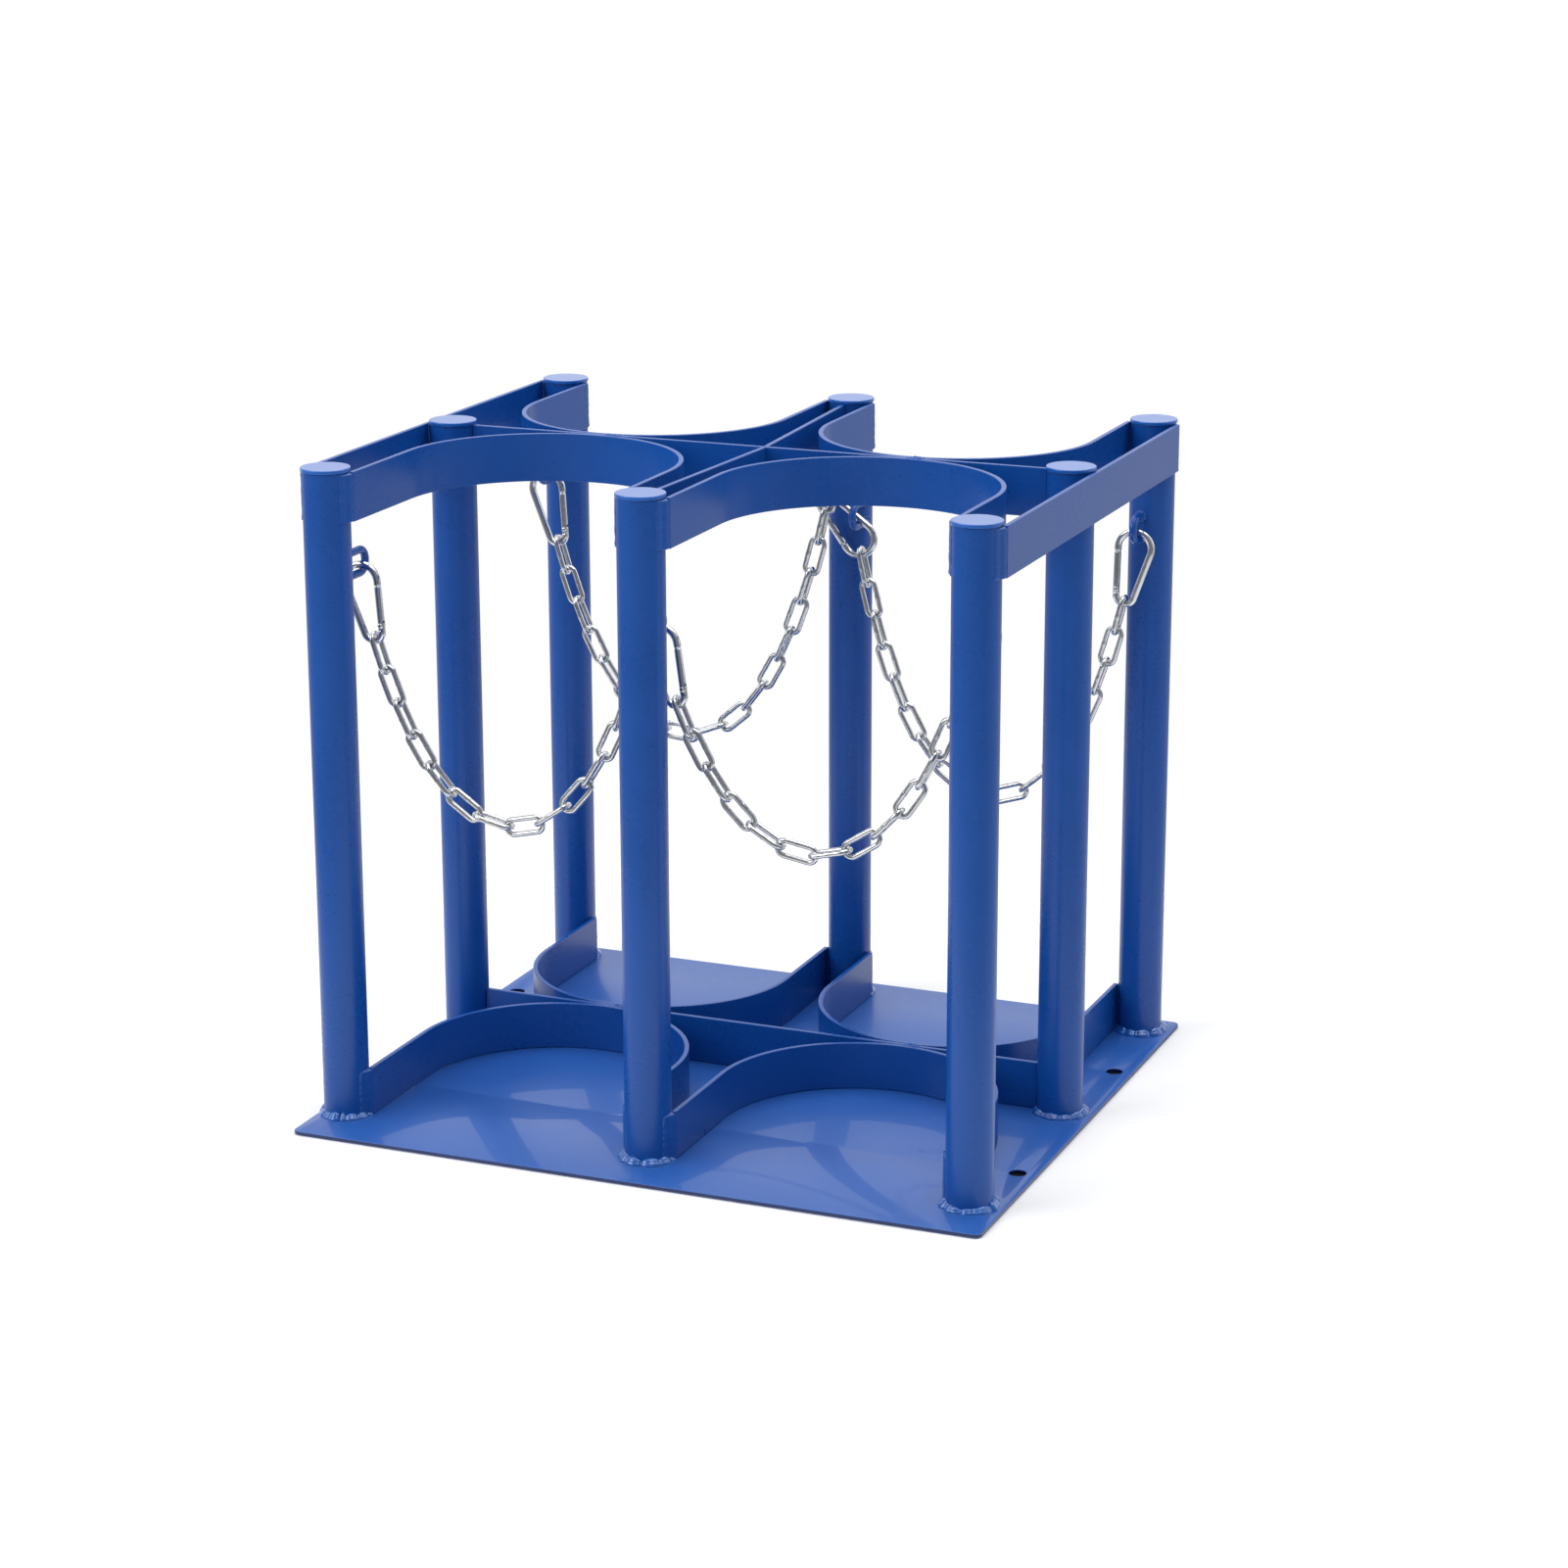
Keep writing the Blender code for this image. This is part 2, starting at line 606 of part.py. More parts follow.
def hanging_point(name, side):
    """Gives where the wire of a chain's end hangs, in world space."""
    row, column = name.split("_")
    post = column if side == "outer" else "middle"
    sideways, drop = HANGING_POINTS[f"{name}_{side}"]
    plane_y = ROW_Y[row] + INWARD[row] * CHAIN_REACH[name]
    return Vector((COLUMN_X[post] + sideways, plane_y, UPPER_BAR_Z - drop))


def link_placement(piece, plane_y):
    """Gives the matrix of a link, whose path lies along X in the plane of the chain."""
    along = (piece.end - piece.start).normalized()
    middle = (piece.start + piece.end) / 2
    if piece.kind == "level_link":
        middle = piece.start + along * LINK_STRAIGHT / 2
    slope = Matrix.Rotation(-math.atan2(along.y, along.x), 4, "Y")
    stand = Matrix.Rotation(math.pi / 2 if piece.kind == "cross_link" else 0, 4, "X")
    return Matrix.Translation((middle.x, plane_y, middle.y)) @ slope @ stand


def hook_placement(piece, plane_y, at_left):
    """Gives the matrix of a hook, whose mesh has its load line along Z and its gate at -X.

    A side-hung hook is also turned until its wide bend's centre lies on the pull from its eye.
    """
    top, bottom = (piece.start, piece.end) if at_left else (piece.end, piece.start)
    up = (top - bottom).normalized()
    lean = Matrix.Rotation(math.atan2(up.x, up.y), 4, "Y")
    spin = Matrix.Rotation(math.pi if at_left else 0, 4, "Z")
    load_x = -hook_pivot()[0]
    wide_z = hook_centres()[0]
    held = Vector((load_x, 0, wide_z + HOOK_WIDE_RADIUS))
    if piece.kind == "side_hung":
        hold = side_hold()
        tilt = math.atan2(hold.x, -hold.y)
        turn_over = Matrix.Rotation(math.pi, 4, "Y")
        spin = Matrix.Rotation(-tilt if at_left else tilt, 4, "Y") @ spin @ turn_over
        held = Vector((load_x + hold.x, 0, wide_z + hold.y))
    return Matrix.Translation((top.x, plane_y, top.y)) @ lean @ spin @ Matrix.Translation(-held)


def build_chain(name, zinc, hook_mesh, gate_mesh):
    """Makes one chain with its hooks and gates, moved by an empty on the axis it swings about."""
    left, right = [hanging_point(name, side) for side in chain_sides(name)]
    pieces = chain_pieces(name)
    hang(pieces, (left.x, left.z), (right.x, right.z))
    axis = bpy.data.objects.new(f"swing_axis_{name}", None)
    axis.location = left
    bpy.context.collection.objects.link(axis)
    to_axis = Matrix.Translation(-left)
    wires = {"cross_link": bmesh.new(), "level_link": bmesh.new()}
    for i, piece in enumerate(pieces):
        if piece.kind in wires:
            placement = to_axis @ link_placement(piece, left.y)
            sweep_wire(wires[piece.kind], link_path(), LINK_WIRE, LINK_SIDES, placement, closed=True)
        elif piece.kind != "joint":
            placement = hook_placement(piece, left.y, i == 0)
            add_mesh_object(f"snap_hook_{piece.node}", hook_mesh, placement, axis)
            gate = add_mesh_object(f"hook_gate_{piece.node}", gate_mesh, placement, axis)
            gate.matrix_basis = to_axis @ placement
    chain = add_object(f"chain_{name}", wires["cross_link"], zinc, left, axis)
    add_boolean(f"level_links_{name}", wires["level_link"], chain, "UNION")
    return pieces


def eye_hold(piece):
    """Gives how far along the pull an eye's lower leg lies from the wire that hangs on it."""
    if piece.kind == "level_link":
        return LINK_TO_EYE
    if piece.kind == "side_hung":
        return HOOK_TO_EYE * side_hold().length / HOOK_WIDE_RADIUS
    return HOOK_TO_EYE


def build_eye(name, side, piece, paint):
    """Makes an eye: a rod bent to a U, with two legs on the post and the chain's end on the lower.

    The chain pulls its end's wire against the lower leg, so the leg lies along the pull from it.
    The legs start inside the post's round face, and the post's shape is cut out of them.
    """
    row, column = name.split("_")
    held = hanging_point(name, side)
    at_left = side == chain_sides(name)[0]
    pull = (piece.end - piece.start).normalized() * (1 if at_left else -1)
    leg_x = held.x + eye_hold(piece) * pull.x
    middle_z = held.z + eye_hold(piece) * pull.y + EYE_BEND_RADIUS
    offset = COLUMN_X[column if side == "outer" else "middle"] - leg_x
    coped_radius = POST_RADIUS + SEAT
    start = math.sqrt(coped_radius ** 2 - offset ** 2) - EYE_WIRE / 2
    bend = arc((CHAIN_REACH[name] + EYE_BEND_PAST_CHAIN, 0), EYE_BEND_RADIUS, -90, 90,
               EYE_BEND_STEPS)
    path = [(start, -EYE_BEND_RADIUS)] + bend + [(start, EYE_BEND_RADIUS)]
    aim = Matrix.Rotation(INWARD[row] * math.pi / 2, 4, "Z")
    bm = bmesh.new()
    sweep_wire(bm, path, EYE_WIRE, HOOK_SIDES, aim)
    eye = add_object(f"chain_eye_{name}_{side}", bm, paint, (leg_x, ROW_Y[row], middle_z))
    cope = bmesh.new()
    past = EYE_BEND_RADIUS + EYE_WIRE
    add_cylinder(cope, coped_radius, (offset, 0, -past), (offset, 0, past), POST_SIDES)
    add_boolean(f"cope_{name}_{side}", cope, eye)


def main():
    """Builds the whole rack."""
    clear_scene()
    paint = make_material("blue_paint", (0.012, 0.075, 0.300), 0.0, 0.30)
    zinc = make_material("bright_zinc", (0.62, 0.63, 0.65), 1.0, 0.32)
    build_plate(paint)
    build_posts(paint)
    build_flat_bars(paint)
    build_saddles(paint)
    hook_mesh = build_hook_mesh(zinc)
    gate_mesh = build_gate_mesh(zinc)
    for name in CHAIN_ENDS:
        pieces = build_chain(name, zinc, hook_mesh, gate_mesh)
        left, right = chain_sides(name)
        build_eye(name, left, pieces[0], paint)
        build_eye(name, right, pieces[-1], paint)


main()
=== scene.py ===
"""Looks of a four-bay cylinder rack: painted tube, flat bar and plate, with bright zinc chains.

Metres, +Z up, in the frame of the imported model. Fixed pieces ride on the body "rack", each chain
with its hooks on a body that swings, and each hook's gate on a body of its own.
"""
import logging
import math
from dataclasses import dataclass, field
from enum import Enum

import bmesh
import bpy
import numpy as np
from mathutils import Matrix, Vector


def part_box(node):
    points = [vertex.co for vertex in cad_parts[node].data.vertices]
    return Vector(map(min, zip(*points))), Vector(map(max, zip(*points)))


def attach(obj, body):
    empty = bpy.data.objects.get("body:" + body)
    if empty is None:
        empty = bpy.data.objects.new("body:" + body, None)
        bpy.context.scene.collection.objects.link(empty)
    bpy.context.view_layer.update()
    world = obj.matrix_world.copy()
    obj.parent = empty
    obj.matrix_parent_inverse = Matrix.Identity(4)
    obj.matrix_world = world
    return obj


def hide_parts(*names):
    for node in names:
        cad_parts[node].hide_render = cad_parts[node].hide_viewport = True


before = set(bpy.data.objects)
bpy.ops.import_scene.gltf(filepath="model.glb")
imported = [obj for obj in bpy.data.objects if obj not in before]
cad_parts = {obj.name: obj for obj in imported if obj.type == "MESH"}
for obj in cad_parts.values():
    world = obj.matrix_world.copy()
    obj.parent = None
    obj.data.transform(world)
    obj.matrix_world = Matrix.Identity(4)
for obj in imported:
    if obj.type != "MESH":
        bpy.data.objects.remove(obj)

LOG = logging.getLogger("rack")
MM = 0.001
PHOTO_SIDE_PX = 1601
RACK_BODY = "rack"
ROWS = {"front": 1, "back": -1}
COLUMNS = {"left": -1, "right": 1}
LEVELS = ("top", "bottom")
ACROSS, DEPTH, UP = np.eye(3)
BAR_THICKNESS = 4 * MM
CORNER_HOLD = 0.25 * MM
SMOOTH_UP_TO = math.radians(50)

FINE_GRAIN_TIMES = 5.0
GRAIN_RELIEF = 0.4 * MM
SLOW_RANGE, QUICK_RANGE, SPECK_RANGE = (0.32, 0.68), (0.30, 0.70), (0.76, 0.82)
QUICK_SHARE = 0.35
SPECK_SCALE = 420.0
LEVEL_TOLERANCE = 0.001 * MM
TINY = 1e-12

Tree, Node, Socket = bpy.types.NodeTree, bpy.types.Node, bpy.types.NodeSocket
Pair = tuple[float, float]
Colour = tuple[float, float, float]


class ChainEnd(Enum):
    """What holds a chain's end on its eye."""

    HOOK = "hook"
    SIDE_HUNG_HOOK = "hook held by its straight side"
    LINK = "last link"


class Slot(Enum):
    """The record's material slots."""

    PAINT = "blue_paint"
    ZINC = "bright_zinc"


# Shader nodes, and the groups for effects that several finishes share


def set_inputs(tree: Tree, node: Node, inputs: dict[str | int, object]) -> Node:
    """Set a node's inputs.

    Args:
        tree: The tree that the node is in.
        node: The node.
        inputs: A value, or another node's output to link, for each input's name or number.

    Returns:
        The node.
    """
    for key, value in inputs.items():
        if isinstance(value, Socket):
            tree.links.new(value, node.inputs[key])
        else:
            node.inputs[key].default_value = value
    return node


def add_node(tree: Tree, kind: str, inputs: dict[str | int, object] | None = None,
             **settings: object) -> Node:
    """Place a shader node.

    Args:
        tree: Where it goes.
        kind: Its type, without the "ShaderNode" before it.
        inputs: What set_inputs takes.
        settings: Its own properties, set before the inputs.

    Returns:
        The node.
    """
    node = tree.nodes.new(f"ShaderNode{kind}")
    for name, value in settings.items():
        setattr(node, name, value)
    return set_inputs(tree, node, inputs or {})


def coordinates(tree: Tree, kind: str = "Object") -> Socket:
    """Give the coordinates of one kind."""
    return add_node(tree, "TexCoord").outputs[kind]


def calculated(tree: Tree, operation: str, *values: Socket | float) -> Socket:
    """Give the result of a Math node's operation on some values."""
    return add_node(tree, "Math", dict(enumerate(values)), operation=operation).outputs[0]


def noise(tree: Tree, scale: Socket | float, detail: float, roughness: float = 0.5) -> Socket:
    """Give a noise over the object's own coordinates, by its features per metre."""
    return add_node(tree, "TexNoise", {"Vector": coordinates(tree), "Scale": scale,
                                       "Detail": detail, "Roughness": roughness}).outputs["Fac"]


def spread(tree: Tree, value: Socket, source: Pair, target: Pair = (0.0, 1.0),
           curve: str = "LINEAR") -> Socket:
    """Carry a value from one range to another, held between the ends.

    Args:
        tree: Where the node goes.
        value: The value.
        source: The range that it comes from.
        target: The range that it goes to.
        curve: The Map Range node's interpolation.

    Returns:
        The new value's socket.
    """
    inputs = {"Value": value, "From Min": source[0], "From Max": source[1],
              "To Min": target[0], "To Max": target[1]}
    return add_node(tree, "MapRange", inputs, interpolation_type=curve).outputs["Result"]


def blend(tree: Tree, kind: str, share: Socket | float, one: Socket | float | Colour,
          two: Socket | float | Colour) -> Socket:
    """Blend two values or two colours.

    Args:
        tree: Where the node goes.
        kind: The Mix node's data type, FLOAT or RGBA.
        share: The share of the second.
        one: The first value or colour.
        two: The second one.

    Returns:
        The blend's socket.
    """
    ends = [(*end, 1.0) if isinstance(end, tuple) else end for end in (one, two)]
    inputs = {"Factor": share, "A": ends[0], "B": ends[1]}
    return add_node(tree, "Mix", inputs, data_type=kind).outputs["Result"]


def new_group(name: str, inputs: tuple[str, ...],
              outputs: dict[str, str]) -> tuple[Tree, Node, Node]:
    """Make an empty shader node group with named sockets.

    Args:
        name: The group's name.
        inputs: The names of its float inputs.
        outputs: Its outputs, each with the kind of its socket.

    Returns:
        The group, its input node and its output node.
    """
    group = bpy.data.node_groups.new(name, "ShaderNodeTree")
    for label in inputs:
        group.interface.new_socket(label, in_out="INPUT", socket_type="NodeSocketFloat")
    for label, kind in outputs.items():
        group.interface.new_socket(label, in_out="OUTPUT", socket_type=f"NodeSocket{kind}")
    return group, group.nodes.new("NodeGroupInput"), group.nodes.new("NodeGroupOutput")


def make_grain_group() -> None:
    """Make the fine unevenness of a surface: a bump of two noises, one coarse and one fine.

    The group has the inputs Scale, Depth and Fine Share, and the output Normal.
    """
    group, start, end = new_group("surface_grain", ("Scale", "Depth", "Fine Share"),
                                  {"Normal": "Vector"})
    scale = start.outputs["Scale"]
    finer = calculated(group, "MULTIPLY", scale, FINE_GRAIN_TIMES)
    height = blend(group, "FLOAT", start.outputs["Fine Share"], noise(group, scale, 2.0),
                   noise(group, finer, 1.0))
    bump = add_node(group, "Bump", {"Strength": start.outputs["Depth"], "Height": height,
                                    "Distance": GRAIN_RELIEF})
    set_inputs(group, end, {"Normal": bump.outputs["Normal"]})


def make_mottle_group() -> None:
    """Make slow and quick changes of tone over a surface, and rare small specks of dust.

    The group has the inputs Broad Scale, Fine Scale and Dust, and the outputs Tone and Specks.
    """
    group, start, end = new_group("surface_mottle", ("Broad Scale", "Fine Scale", "Dust"),
                                  {"Tone": "Float", "Specks": "Float"})
    slow = spread(group, noise(group, start.outputs["Broad Scale"], 3.0), SLOW_RANGE)
    quick = spread(group, noise(group, start.outputs["Fine Scale"], 3.0, 0.6), QUICK_RANGE)
    dust = spread(group, noise(group, SPECK_SCALE, 0.0), SPECK_RANGE)
    specks = calculated(group, "MULTIPLY", dust, start.outputs["Dust"])
    set_inputs(group, end, {"Tone": blend(group, "FLOAT", QUICK_SHARE, slow, quick),
                            "Specks": specks})


@dataclass(frozen=True)
class Finish:
    """A finish whose tone, roughness and fine relief change over the surface.

    The colour goes from low_colour to high_colour with the mottle's tone and towards dust_colour
    on its specks. The roughness goes from smooth to dull with the same tone.
    """

    name: str
    slot: Slot
    low_colour: Colour
    high_colour: Colour
    smooth: float
    dull: float
    grain_scale: float
    grain_depth: float
    fine_share: float
    metallic: float = 0.0
    broad_scale: float = 9.0
    fine_scale: float = 160.0
    dust: float = 0.0
    dust_colour: Colour = (0.5, 0.55, 0.65)
    ior: float = 1.5
    coat: float = 0.0
    coat_roughness: float = 0.15

    def material(self) -> bpy.types.Material:
        """Give the finish's material, made the first time that it is asked for."""
        return bpy.data.materials.get(self.name) or self.build()

    def shared(self, tree: Tree, name: str, inputs: dict[str, float]) -> Node:
        """Place a shared group among the material's nodes, with its own inputs."""
        return add_node(tree, "Group", inputs, node_tree=bpy.data.node_groups[name])

    def build(self) -> bpy.types.Material:
        """Build the material.

        Returns:
            The material, with its nodes.
        """
        material = bpy.data.materials.new(self.name)
        material.use_nodes = True
        tree = material.node_tree
        mottle = self.shared(tree, "surface_mottle", {
            "Broad Scale": self.broad_scale, "Fine Scale": self.fine_scale, "Dust": self.dust})
        grain = self.shared(tree, "surface_grain", {
            "Scale": self.grain_scale, "Depth": self.grain_depth, "Fine Share": self.fine_share})
        tone = mottle.outputs["Tone"]
        clean = blend(tree, "RGBA", tone, self.low_colour, self.high_colour)
        dusty = blend(tree, "RGBA", mottle.outputs["Specks"], clean, self.dust_colour)
        set_inputs(tree, tree.nodes["Principled BSDF"], {
            "Base Color": dusty, "Roughness": spread(tree, tone, (0, 1), (self.smooth, self.dull)),
            "Normal": grain.outputs["Normal"], "Metallic": self.metallic, "IOR": self.ior,
            "Coat Weight": self.coat, "Coat Roughness": self.coat_roughness,
            **self.local(tree, dusty)})
        return material

    def local(self, tree: Tree, colour: Socket) -> dict[str, Socket]:
        """Give the shader's inputs that differ with the place on the piece: none here."""
        return {}


@dataclass(frozen=True)
class PlateFinish(Finish):
    """The base plate's finish: with painted shade on its upright rim, and a coat that thins towards
    the back edge as painted shade of its reflections there.
    """

    # Painted shade: the dark colour of the plate's upright faces.
    painted_shade_rim_colour: Colour = (0.0008, 0.012, 0.090)
    # Painted shade of the reflections: the coat's weight at the back edge.
    painted_shade_coat_at_back: float = 0.08
    half_height: float = 1.5 * MM
    rim_half_height: float = 1.1 * MM

    def local(self, tree: Tree, colour: Socket) -> dict[str, Socket]:
        """Paint shade on the upright faces, and thin the coat towards the back as painted shade of
        the plate's reflections.

        The upright faces are where the height over the floor differs from half_height, which is
        half the plate's thickness, by no more than rim_half_height.

        Args:
            tree: The material's nodes.
            colour: The colour of the level faces.

        Returns:
            The shader's colour and coat.
        """
        place = add_node(tree, "SeparateXYZ", {0: coordinates(tree)}).outputs
        rim = calculated(tree, "COMPARE", place["Z"], self.half_height, self.rim_half_height)
        low, high = span("base_plate")
        # The rim's dark colour and the coat thinning towards the back are painted shade.
        return {"Base Color": blend(tree, "RGBA", rim, colour, self.painted_shade_rim_colour),
                "Coat Weight": spread(tree, place["Y"], (low[1], high[1]),
                                      (self.coat, self.painted_shade_coat_at_back))}


PAINT = Finish("royal_blue_paint", Slot.PAINT, (0.0040, 0.063, 0.300), (0.0054, 0.075, 0.345),
               smooth=0.24, dull=0.34, grain_scale=330.0, grain_depth=0.10, fine_share=0.25,
               dust=0.02, ior=1.42)
# The plate's paint is the blue made lighter and greyer: painted light from above and a painted haze
# of reflection.
LIT_PLATE_PAINT = PlateFinish("plate_blue_paint_with_painted_light", Slot.PAINT, (0.0150, 0.094, 0.385),
                          (0.0220, 0.110, 0.430), smooth=0.34, dull=0.46, grain_scale=260.0,
                          grain_depth=0.06, fine_share=0.25, broad_scale=7.0, dust=0.05, ior=1.45,
                          coat=0.46, coat_roughness=0.045)
# The caps' paint is the blue made lighter: painted light and painted reflection on the caps' tops.
LIT_CAP_PAINT = Finish("cap_blue_paint_with_painted_light", Slot.PAINT, (0.006, 0.100, 0.440), (0.009, 0.115, 0.470),
                   smooth=0.18, dull=0.28, grain_scale=300.0, grain_depth=0.08, fine_share=0.2,
                   coat=0.5, coat_roughness=0.28)
WELD_PAINT = Finish("painted_weld", Slot.PAINT, (0.0040, 0.064, 0.305), (0.0056, 0.078, 0.355),
                    smooth=0.26, dull=0.36, grain_scale=500.0, grain_depth=0.15, fine_share=0.2)
# The foot welds' tone varies over them, up to a much lighter blue that is a painted highlight on
# their lumps.
HIGHLIT_FOOT_WELD_PAINT = Finish("painted_foot_weld_with_painted_highlights", Slot.PAINT, (0.0030, 0.066, 0.330),
                         (0.010, 0.130, 0.500), smooth=0.10, dull=0.20, grain_scale=380.0,
                         grain_depth=0.30, fine_share=0.2, coat=0.9, coat_roughness=0.12)
EYE_PAINT = Finish("eye_blue_paint", Slot.PAINT, (0.0026, 0.060, 0.300), (0.0040, 0.078, 0.370),
                   smooth=0.20, dull=0.32, grain_scale=500.0, grain_depth=0.15, fine_share=0.3)
ZINC = Finish("bright_zinc_plate", Slot.ZINC, (0.56, 0.57, 0.58), (0.80, 0.81, 0.82),
              smooth=0.16, dull=0.30, grain_scale=900.0, grain_depth=0.10, fine_share=0.4,
              metallic=1.0, broad_scale=60.0, fine_scale=700.0)
HOOK_ZINC = Finish("polished_zinc_plate", Slot.ZINC, (0.62, 0.63, 0.64), (0.84, 0.85, 0.86),
                   smooth=0.12, dull=0.24, grain_scale=700.0, grain_depth=0.07, fine_share=0.3,
                   metallic=1.0, broad_scale=40.0, fine_scale=500.0)


# Surfaces as grids of points


@dataclass
class Surface:
    """Points and faces of one or more shells."""

    points: np.ndarray
    faces: list[list[int]]

    def placed(self, placement: Matrix) -> "Surface":
        """Give the surface under a matrix."""
        matrix = np.array(placement)
        return Surface(self.points @ matrix[:3, :3].T + matrix[:3, 3], self.faces)

    def in_bmesh(self) -> bmesh.types.BMesh:
        """Copy the surface.

        Returns:
            A BMesh with its points and faces, which the caller frees.
        """
        mesh = bpy.data.meshes.new("passing")
        mesh.from_pydata(self.points.tolist(), [], self.faces)
        shell = bmesh.new()
        shell.from_mesh(mesh)
        bpy.data.meshes.remove(mesh)
        return shell

    def filled(self) -> "Surface":
        """Fill the open rims at the surface's lowest and highest levels with triangles.

        Returns:
            The closed surface.
        """
        shell = self.in_bmesh()
        for level in (self.points[:, 2].min(), self.points[:, 2].max()):
            rims = [edge for edge in shell.edges if edge.is_boundary
                    and abs(edge.verts[0].co.z - level) < LEVEL_TOLERANCE]
            bmesh.ops.triangle_fill(shell, use_beauty=True, edges=rims)
        faces = [[corner.index for corner in face.verts] for face in shell.faces]
        shell.free()
        return Surface(self.points, faces)


def join(surfaces: list[Surface]) -> Surface:
    """Put several surfaces into one, side by side."""
    starts = np.cumsum([0] + [len(surface.points) for surface in surfaces[:-1]]).tolist()
    faces = [[corner + start for corner in face]
             for surface, start in zip(surfaces, starts) for face in surface.faces]
    return Surface(np.concatenate([surface.points for surface in surfaces]), faces)


def unit(vectors: np.ndarray) -> np.ndarray:
    """Give vectors the length of one."""
    return vectors / np.linalg.norm(vectors, axis=-1, keepdims=True)


def grid_surface(points: np.ndarray, closed: bool, capped: bool = True) -> Surface:
    """Join the loops of a grid with quads.

    Args:
        points: Rows by columns by 3. Each row is a loop.
        closed: Whether the last row joins the first.
        capped: Whether one face closes each end of an open grid.

    Returns:
        The surface.
    """
    rows, columns = points.shape[:2]
    row = np.arange(rows if closed else rows - 1)[:, None]
    column = np.arange(columns)[None, :]
    next_row, next_column = (row + 1) % rows, (column + 1) % columns
    corners = [row * columns + column, row * columns + next_column,
               next_row * columns + next_column, next_row * columns + column]
    faces = np.stack(corners, axis=-1).reshape(-1, 4).tolist()
    if capped and not closed:
        faces.append(list(range(columns))[::-1])
        faces.append(list(range((rows - 1) * columns, rows * columns)))
    return Surface(points.reshape(-1, 3), faces)


def circle(sides: int, start: float = 0.0) -> np.ndarray:
    """Give points of a unit circle from an angle on, sides by 2."""
    turn = start + np.linspace(0, 2 * np.pi, sides, endpoint=False)
    return np.stack([np.cos(turn), np.sin(turn)], axis=1)


def arc_points(middle: Pair, radius: float, start: float, end: float, steps: int) -> np.ndarray:
    """Give points along an arc.

    Args:
        middle: Centre of the arc.
        radius: Its radius.
        start: First angle in degrees.
        end: Last angle in degrees.
        steps: Steps between them.

    Returns:
        Points, steps + 1 by 2.
    """
    turn = np.radians(np.linspace(start, end, steps + 1))
    return np.array(middle) + radius * np.stack([np.cos(turn), np.sin(turn)], axis=1)


def swept_wire(path: np.ndarray, radius: np.ndarray | float, sides: int,
               closed: bool = False) -> Surface:
    """Carry a circle along a path in the plane of X and Z.

    Each circle's centre is a point of the path. Its axes are Y and the cross product of Y and the
    path's direction.

    Args:
        path: Points of the path in X and Z, n by 2.
        radius: The wire's radius, one for all or one for each point.
        sides: Points round the wire.
        closed: Whether the path is a loop.

    Returns:
        The wire's surface.
    """
    if closed:
        along = np.roll(path, -1, axis=0) - np.roll(path, 1, axis=0)
    else:
        along = np.gradient(path, axis=0)
    along = unit(along)[..., None]
    out, across = circle(sides).T
    reach = np.broadcast_to(radius, len(path))[:, None]
    return grid_surface(np.stack([path[:, :1] + reach * along[:, 1] * out,
                                  reach * across,
                                  path[:, 1:] - reach * along[:, 0] * out], axis=-1), closed)


def domed_start(path: np.ndarray, radius: float, steps: int = 6,
                drawn: float = 0.995) -> tuple[np.ndarray, np.ndarray]:
    """Lengthen a path with a dome before its first point.

    On the dome the radius falls as the square root of one minus the square of the share of the
    dome that has been passed.

    Args:
        path: Points of the path, n by 2.
        radius: The wire's radius.
        steps: Rings on the dome.
        drawn: Share of the dome's height that is drawn. Beyond it the dome is flat.

    Returns:
        The longer path and the radius at each of its points.
    """
    share = np.sin(np.linspace(0, np.pi / 2, steps + 1)[:0:-1]) * drawn
    dome = path[0] + radius * share[:, None] * unit(path[0] - path[1])
    radii = radius * np.concatenate([np.sqrt(1 - share ** 2), np.ones(len(path))])
    return np.concatenate([dome, path]), radii


def turned(profile: np.ndarray, sides: int, closed: bool) -> Surface:
    """Turn a profile of radius and height about the Z axis.

    Args:
        profile: Points of the profile, n by 2.
        sides: Points round the axis.
        closed: Whether the profile is a loop. If not, a flat face closes each end.

    Returns:
        The turned surface.
    """
    radius, height = profile.T[..., None]
    out, across = circle(sides).T
    points = [radius * out, radius * across, np.broadcast_to(height, (len(profile), sides))]
    return grid_surface(np.stack(points, axis=-1), closed)


def rounded_section(half_width: float, half_height: float, corner: float,
                    steps: int = 3) -> np.ndarray:
    """Give a rectangle with rounded corners, with a point held close to each corner on each flat.

    Args:
        half_width: Half the extent along the first axis.
        half_height: Half the extent along the second axis.
        corner: Radius of the corners.
        steps: Steps round each corner.

    Returns:
        Points of the section, counter-clockwise, n by 2.
    """
    parts = []
    for quarter, (sign_x, sign_y) in enumerate([(1, 1), (-1, 1), (-1, -1), (1, -1)]):
        middle = (sign_x * (half_width - corner), sign_y * (half_height - corner))
        start, end = 90 * quarter, 90 * quarter + 90
        arc = arc_points(middle, corner, start, end, steps)
        before, after = CORNER_HOLD * arc_points((0, 0), 1, start + 90, end + 90, 1)
        parts += [[arc[0] - before], arc, [arc[-1] + after]]
    return np.concatenate(parts)


def add_object(name: str, data: bpy.types.ID) -> bpy.types.Object:
    """Put an object into the scene."""
    added = bpy.data.objects.new(name, data)
    bpy.context.scene.collection.objects.link(added)
    return added


